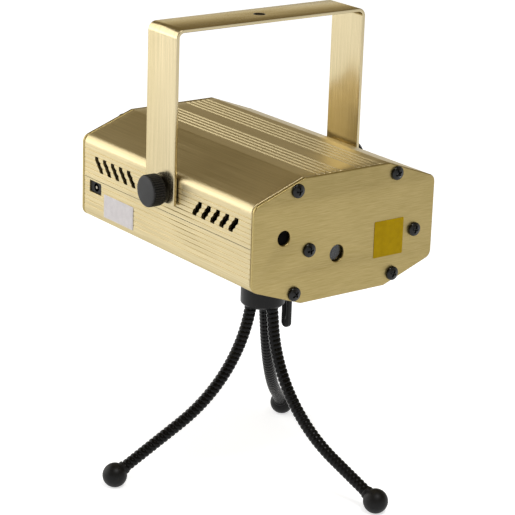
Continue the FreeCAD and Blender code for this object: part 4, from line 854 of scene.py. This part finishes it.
def capShape():
    # Turned ring with a bore for the ball's neck and a rounded top edge
    low, high = boxOf("hub_cap")
    height, r, bore, small = high[2] - low[2], (high[1] - low[1]) / 2, head["capBore"], head["capFootRound"]
    profile = filletPath([(bore, 0, small), (r, 0, small), (r, height, head["capRound"]),
                          (bore, height, head["capBoreRound"])], steps=5)
    return lathe(np.concatenate([profile, profile[:1]]), head["sides"], spot=(0, 0, low[2]))


def leverShape():
    # Paddle with a round boss, drawn in to a narrow tail with rounded edges, and a long dish in its inner face
    size = lever
    high, inner = boxOf("lock_lever")[1], hubHigh[0] + lever["gap"]
    boss, half, bend = size["boss"], size["half"], size["round"]
    right = [(boss, boss, size["bossRound"]), (boss, -size["waist"], bend),
             (half, -boss - size["taper"], bend), (half, -size["length"], bend)]
    outline = filletPath(right + [(-y, z, r) for y, z, r in right[::-1]])[::-1]

    def dish(y, z):
        a, b = size["dishHalf"]
        reach = (y / a) ** 2 + ((z + size["dishDrop"]) / b) ** 2
        return size["dishDepth"] * np.clip(1 - reach, 0, 1) ** size["dishPower"]

    points, faces = slab(outline, high[0] - inner, size["edge"], dish, rings=14)
    middle, axisZ = (high[0] + inner) / 2, high[2] - boss
    return np.stack([middle + points[:, 2], points[:, 0], axisZ + points[:, 1]], -1), faces


lugLow = (0, -head["lugWidth"] / 2, hubLow[2] + head["lugDrop"])
lugHigh = (hubHigh[0], head["lugWidth"] / 2, hubHigh[2])
lugShape = roundedBox(lugLow, lugHigh, head["lugRound"])
addPiece("hubDrum", hubShape(), headPlastic, "tripod_hub", ["tripod_hub"])
addPiece("hubLug", lugShape, headPlastic, "tripod_hub", ["tripod_hub"])
addPiece("hubCap", capShape(), headPlastic, "tripod_hub", ["hub_cap"])
addPiece("lockLever", leverShape(), headPlastic, "lock_lever", ["lock_lever"], sharpAngle=60)
print("tripod head made")


# Gooseneck legs and feet

neck = {"crest": 2.6, "valley": 2.1, "pitch": 2.0, "rowsPerPitch": 10, "sides": 32, "core": 0.8,
        "startRing": 5.3, "sink": 1.5, "bendFrom": 1.0, "bendTo": 26.0,
        "footRadius": 5.3, "footEntry": 0.6, "footRings": 36, "footSides": 64,
        "collar": 2.95, "collarHeight": 5.9, "collarRound": 0.5,
        # First and last lean from upright in degrees, and the radius of the arc between them
        "lean": {"left": (9.0, 55.0, 74.0), "right": (7.0, 63.0, 66.0), "rear": (20.0, 56.0, 90.0)}}


def legLine(side):
    # Straight run, arc, straight run in an upright plane, from the hub to the foot's middle; the two
    # runs' lengths are what makes the line end there
    foot = np.array([*midOf(side + "_foot")[:2], boxOf(side + "_foot")[1][2] - neck["footRadius"]])
    first, last, bend = neck["lean"][side]
    first, last = math.radians(first), math.radians(last)
    outward = np.array([foot[0], foot[1], 0]) / math.hypot(foot[0], foot[1])
    reach = np.array([math.hypot(foot[0], foot[1]) - neck["startRing"], hubLow[2] - foot[2]])
    arc = bend * np.array([math.cos(first) - math.cos(last), math.sin(last) - math.sin(first)])
    leans = np.array([[math.sin(first), math.sin(last)], [math.cos(first), math.cos(last)]])
    runs = np.linalg.solve(leans, reach - arc)
    whole = runs.sum() + bend * (last - first)

    def at(s):
        lean = np.clip(first + (s - runs[0]) / bend, first, last)
        turned = bend * (lean - first)
        before, after = np.minimum(s, runs[0]), np.maximum(s - runs[0] - turned, 0)
        after = np.where(s > runs[0], after, 0)
        out = before * math.sin(first) + bend * (math.cos(first) - np.cos(lean)) + after * math.sin(last)
        down = before * math.cos(first) + bend * (np.sin(lean) - math.sin(first)) + after * math.cos(last)
        upright = np.array([0, 0, 1])
        spot = (neck["startRing"] + out)[:, None] * outward + (hubLow[2] - down)[:, None] * upright
        ahead = np.sin(lean)[:, None] * outward - np.cos(lean)[:, None] * upright
        return spot, ahead

    return at, whole, outward


def tubeShape(at, outward, along, radius):
    # Ring of points round the line at each distance along it; radius is a function of distance and angle
    angle = np.linspace(0, 2 * np.pi, neck["sides"], endpoint=False)[None, :]
    spot, ahead = at(along)
    across = np.cross(np.array([0, 0, 1]), outward)
    normal = np.cross(ahead, across)
    r = radius(along[:, None], angle)
    ring = normal[:, None, :] * np.cos(angle)[..., None] + across * np.sin(angle)[..., None]
    points = spot[:, None, :] + r[..., None] * ring
    points = np.concatenate([points[:1].mean(1, keepdims=True) + 0 * points[:1], points,
                             points[-1:].mean(1, keepdims=True) + 0 * points[-1:]])
    return points.reshape(-1, 3), gridQuads(len(points), angle.shape[1], closed=True)


def ribRadius(along, angle):
    # Helical rib: one turn for each pitch, broad rounded crests and narrow valleys
    phase = (along / neck["pitch"] + angle / (2 * np.pi)) % 1
    return neck["crest"] - (neck["crest"] - neck["valley"]) * np.abs(2 * phase - 1) ** 4


def coreRadius(along, angle):
    # Plain round wire
    return neck["core"] + 0 * along * angle


def footShape(spot, ahead):
    # Ball with a short collar where the leg goes in, pressed flat on the floor
    r, collar, height = neck["footRadius"], neck["collar"], neck["collarHeight"]
    turn = np.linspace(0, math.pi - math.asin(collar / r), neck["footRings"])
    ball = np.stack([r * np.sin(turn), -r * np.cos(turn)], -1)
    top = filletPath([(collar, math.sqrt(r ** 2 - collar ** 2)), (collar, height, neck["collarRound"]),
                      (neck["valley"], height), (0, height)], closed=False, steps=6)
    points, faces = lathe(np.concatenate([ball, top[1:]]), neck["footSides"])
    points = standAlong(points, spot, -ahead)
    points[:, 2] = np.maximum(points[:, 2], 0)
    return points, faces


for side in ("left", "right", "rear"):
    leg = side + "_leg"
    at, whole, outward = legLine(side)
    along = np.arange(-neck["sink"], whole - neck["footEntry"] * neck["footRadius"],
                      neck["pitch"] / neck["rowsPerPitch"])
    start, end = at(np.array([neck["bendFrom"], neck["bendTo"]]))[0] * mm
    tube = addPiece(side + "Gooseneck", tubeShape(at, outward, along, ribRadius), neckCoating, "",
                    [leg, "leg_roots"], sharpAngle=60)
    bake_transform(tube)
    # The core wire stops short of the tube's ends, and its plain side needs fewer rows
    wire = addPiece(side + "CoreWire", tubeShape(at, outward, along[5:-5:4], coreRadius), platedSteel, "",
                    [leg + "_core"])
    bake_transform(wire)
    spot, ahead = at(np.array([whole]))
    addPiece(side + "BallFoot", footShape(spot[0], ahead[0]), footRubber, leg, [side + "_foot"])
print("legs made")


# Blank labels

label = {"thickness": 0.16, "edge": 0.05, "cornerRound": 0.4, "cornerSteps": 5,
         "yellowX": (14.9, 30.1), "yellowZ": (-13.35, 2.0), "whiteY": (22.0, 44.5), "whiteZ": (-14.6, -4.5)}


def labelShape(across, up):
    # Thin sheet with rounded corners
    outline = rectangle(across, up, label["cornerRound"], label["cornerSteps"])
    return slab(outline, label["thickness"], label["edge"])


points, faces = labelShape(label["yellowX"], label["yellowZ"])
y = frontFace - label["thickness"] / 2 - points[:, 2]
sheet = np.stack([points[:, 0], y, points[:, 1] + bodyMid[2]], -1)
addPiece("yellowLabel", (sheet, faces), yellowVinyl, "housing")
points, faces = labelShape(label["whiteY"], label["whiteZ"])
x = -bodyHalf[0] - label["thickness"] / 2 - points[:, 2]
sheet = np.stack([x, points[:, 0] + bodyMid[1], points[:, 1] + bodyMid[2]], -1)
addPiece("whiteLabel", (sheet, faces), whiteVinyl, "housing")
print("labels made")


# Floor, light and camera

studio = {
    "floorSize": 8.0, "floorShade": "#e6e6e6", "floorGlow": 0.6,
    "horizon": "#ffffff", "ceiling": "#ffe8b6", "skyLow": 1.0, "skyHigh": 0.25, "skyFrom": 0.05, "skyTo": 0.38,
    "fill": 0.4,
    # Softboxes: place, aim and size in metres, and power in watts
    "softboxes": {"sideSoftbox": ((-0.72, 0.95, 0.57), (0, 0, 0.12), (1.65, 1.1), 12),
                  "frontSoftbox": ((-0.1, -0.6, 1.15), (0, 0, 0.1), (0.5, 0.4), 7)},
}


def seenRays(tree):
    # 1 where the camera sees the studio, itself or in metal and glass, and 0 where the studio gives light
    path = addNode(tree, "LightPath").outputs
    seen = addNode(tree, "Math", links={0: path["Is Camera Ray"], 1: path["Is Glossy Ray"]}, operation="MAXIMUM")
    return addNode(tree, "Math", links={0: seen, 1: path["Is Transmission Ray"]}, operation="MAXIMUM")


def addFloor():
    # Pale paper that glows where it is seen, so that it is white and keeps the object's shadow
    half = studio["floorSize"] / 2
    corners = [(-half, -half, 0), (half, -half, 0), (half, half, 0), (-half, half, 0)]
    mesh = bpy.data.meshes.new("floor")
    mesh.from_pydata(corners, [], [(0, 1, 2, 3)])
    material, tree = newMaterial("paperFloor")
    glow = addNode(tree, "Math", {1: studio["floorGlow"]}, {0: seenRays(tree)}, operation="MULTIPLY")
    paper = addNode(tree, "BsdfDiffuse", {"Color": linear(studio["floorShade"])})
    light = addNode(tree, "Emission", links={"Strength": glow})
    mesh.materials.append(closeMaterial(material, addNode(tree, "AddShader", links={0: paper, 1: light})))
    addObject("floor", mesh)


def addSky():
    # White round the horizon and a warm, dim ceiling where metal and glass see it; an even fill for all else
    world = bpy.data.worlds.new("studioSky")
    bpy.context.scene.world = world
    world.use_nodes = True
    tree = world.node_tree
    tree.nodes.clear()
    place = addNode(tree, "TexCoord").outputs
    height = addNode(tree, "SeparateXYZ", links={0: place["Generated"]}).outputs["Z"]
    level = addNode(tree, "MapRange", {"From Min": studio["skyFrom"], "From Max": studio["skyTo"],
                                       "To Min": studio["skyLow"], "To Max": studio["skyHigh"]},
                    {"Value": height}, interpolation_type="SMOOTHSTEP")
    tone = addNode(tree, "ValToRGB", links={"Fac": height}, ramp=((studio["skyFrom"], studio["horizon"]),
                                                                  (studio["skyTo"], studio["ceiling"])))
    shown = addNode(tree, "Background", links={"Color": tone, "Strength": level})
    fill = addNode(tree, "Background", {"Strength": studio["fill"]})
    both = addNode(tree, "MixShader", links={0: seenRays(tree), 1: fill, 2: shown})
    addNode(tree, "OutputWorld", links={"Surface": both})


def addSoftbox(name, spot, aim, size, power):
    lamp = bpy.data.lights.new(name, "AREA")
    lamp.shape, lamp.size, lamp.size_y, lamp.energy = "RECTANGLE", size[0], size[1], power
    box = addObject(name, lamp)
    box.location = spot
    box.rotation_euler = (Vector(aim) - Vector(spot)).to_track_quat("-Z", "Y").to_euler()
    box.visible_camera = False


addFloor()
addSky()
for name, settings in studio["softboxes"].items():
    addSoftbox(name, *settings)

# The camera stands where the photograph was taken: its angles and distance about the housing's middle
view = {"azimuth": -37.105, "elevation": 18.262, "roll": 1.956, "distance": 890.714,
        "across": 1.718, "up": -26.671, "focalPixels": 2111.087, "imagePixels": 515, "sensor": 36.0}


def addCamera():
    a, e, roll = (math.radians(view[key]) for key in ("azimuth", "elevation", "roll"))
    back = Vector((math.sin(a) * math.cos(e), -math.cos(a) * math.cos(e), math.sin(e)))
    level = Vector((math.cos(a), math.sin(a), 0))
    upright = back.cross(level)
    right = math.cos(roll) * level + math.sin(roll) * upright
    up = math.cos(roll) * upright - math.sin(roll) * level
    spot = Vector(bodyMid) + view["across"] * right + view["up"] * up + view["distance"] * back
    lens = bpy.data.cameras.new("camera")
    lens.sensor_width = view["sensor"]
    lens.lens = view["sensor"] * view["focalPixels"] / view["imagePixels"]
    camera = addObject("camera", lens)
    axes = Matrix((right, up, back)).transposed().to_4x4()
    camera.matrix_world = Matrix.Translation(spot * mm) @ axes
    bpy.context.scene.camera = camera


addCamera()
bpy.context.scene.view_settings.view_transform = "Standard"
print("studio set")
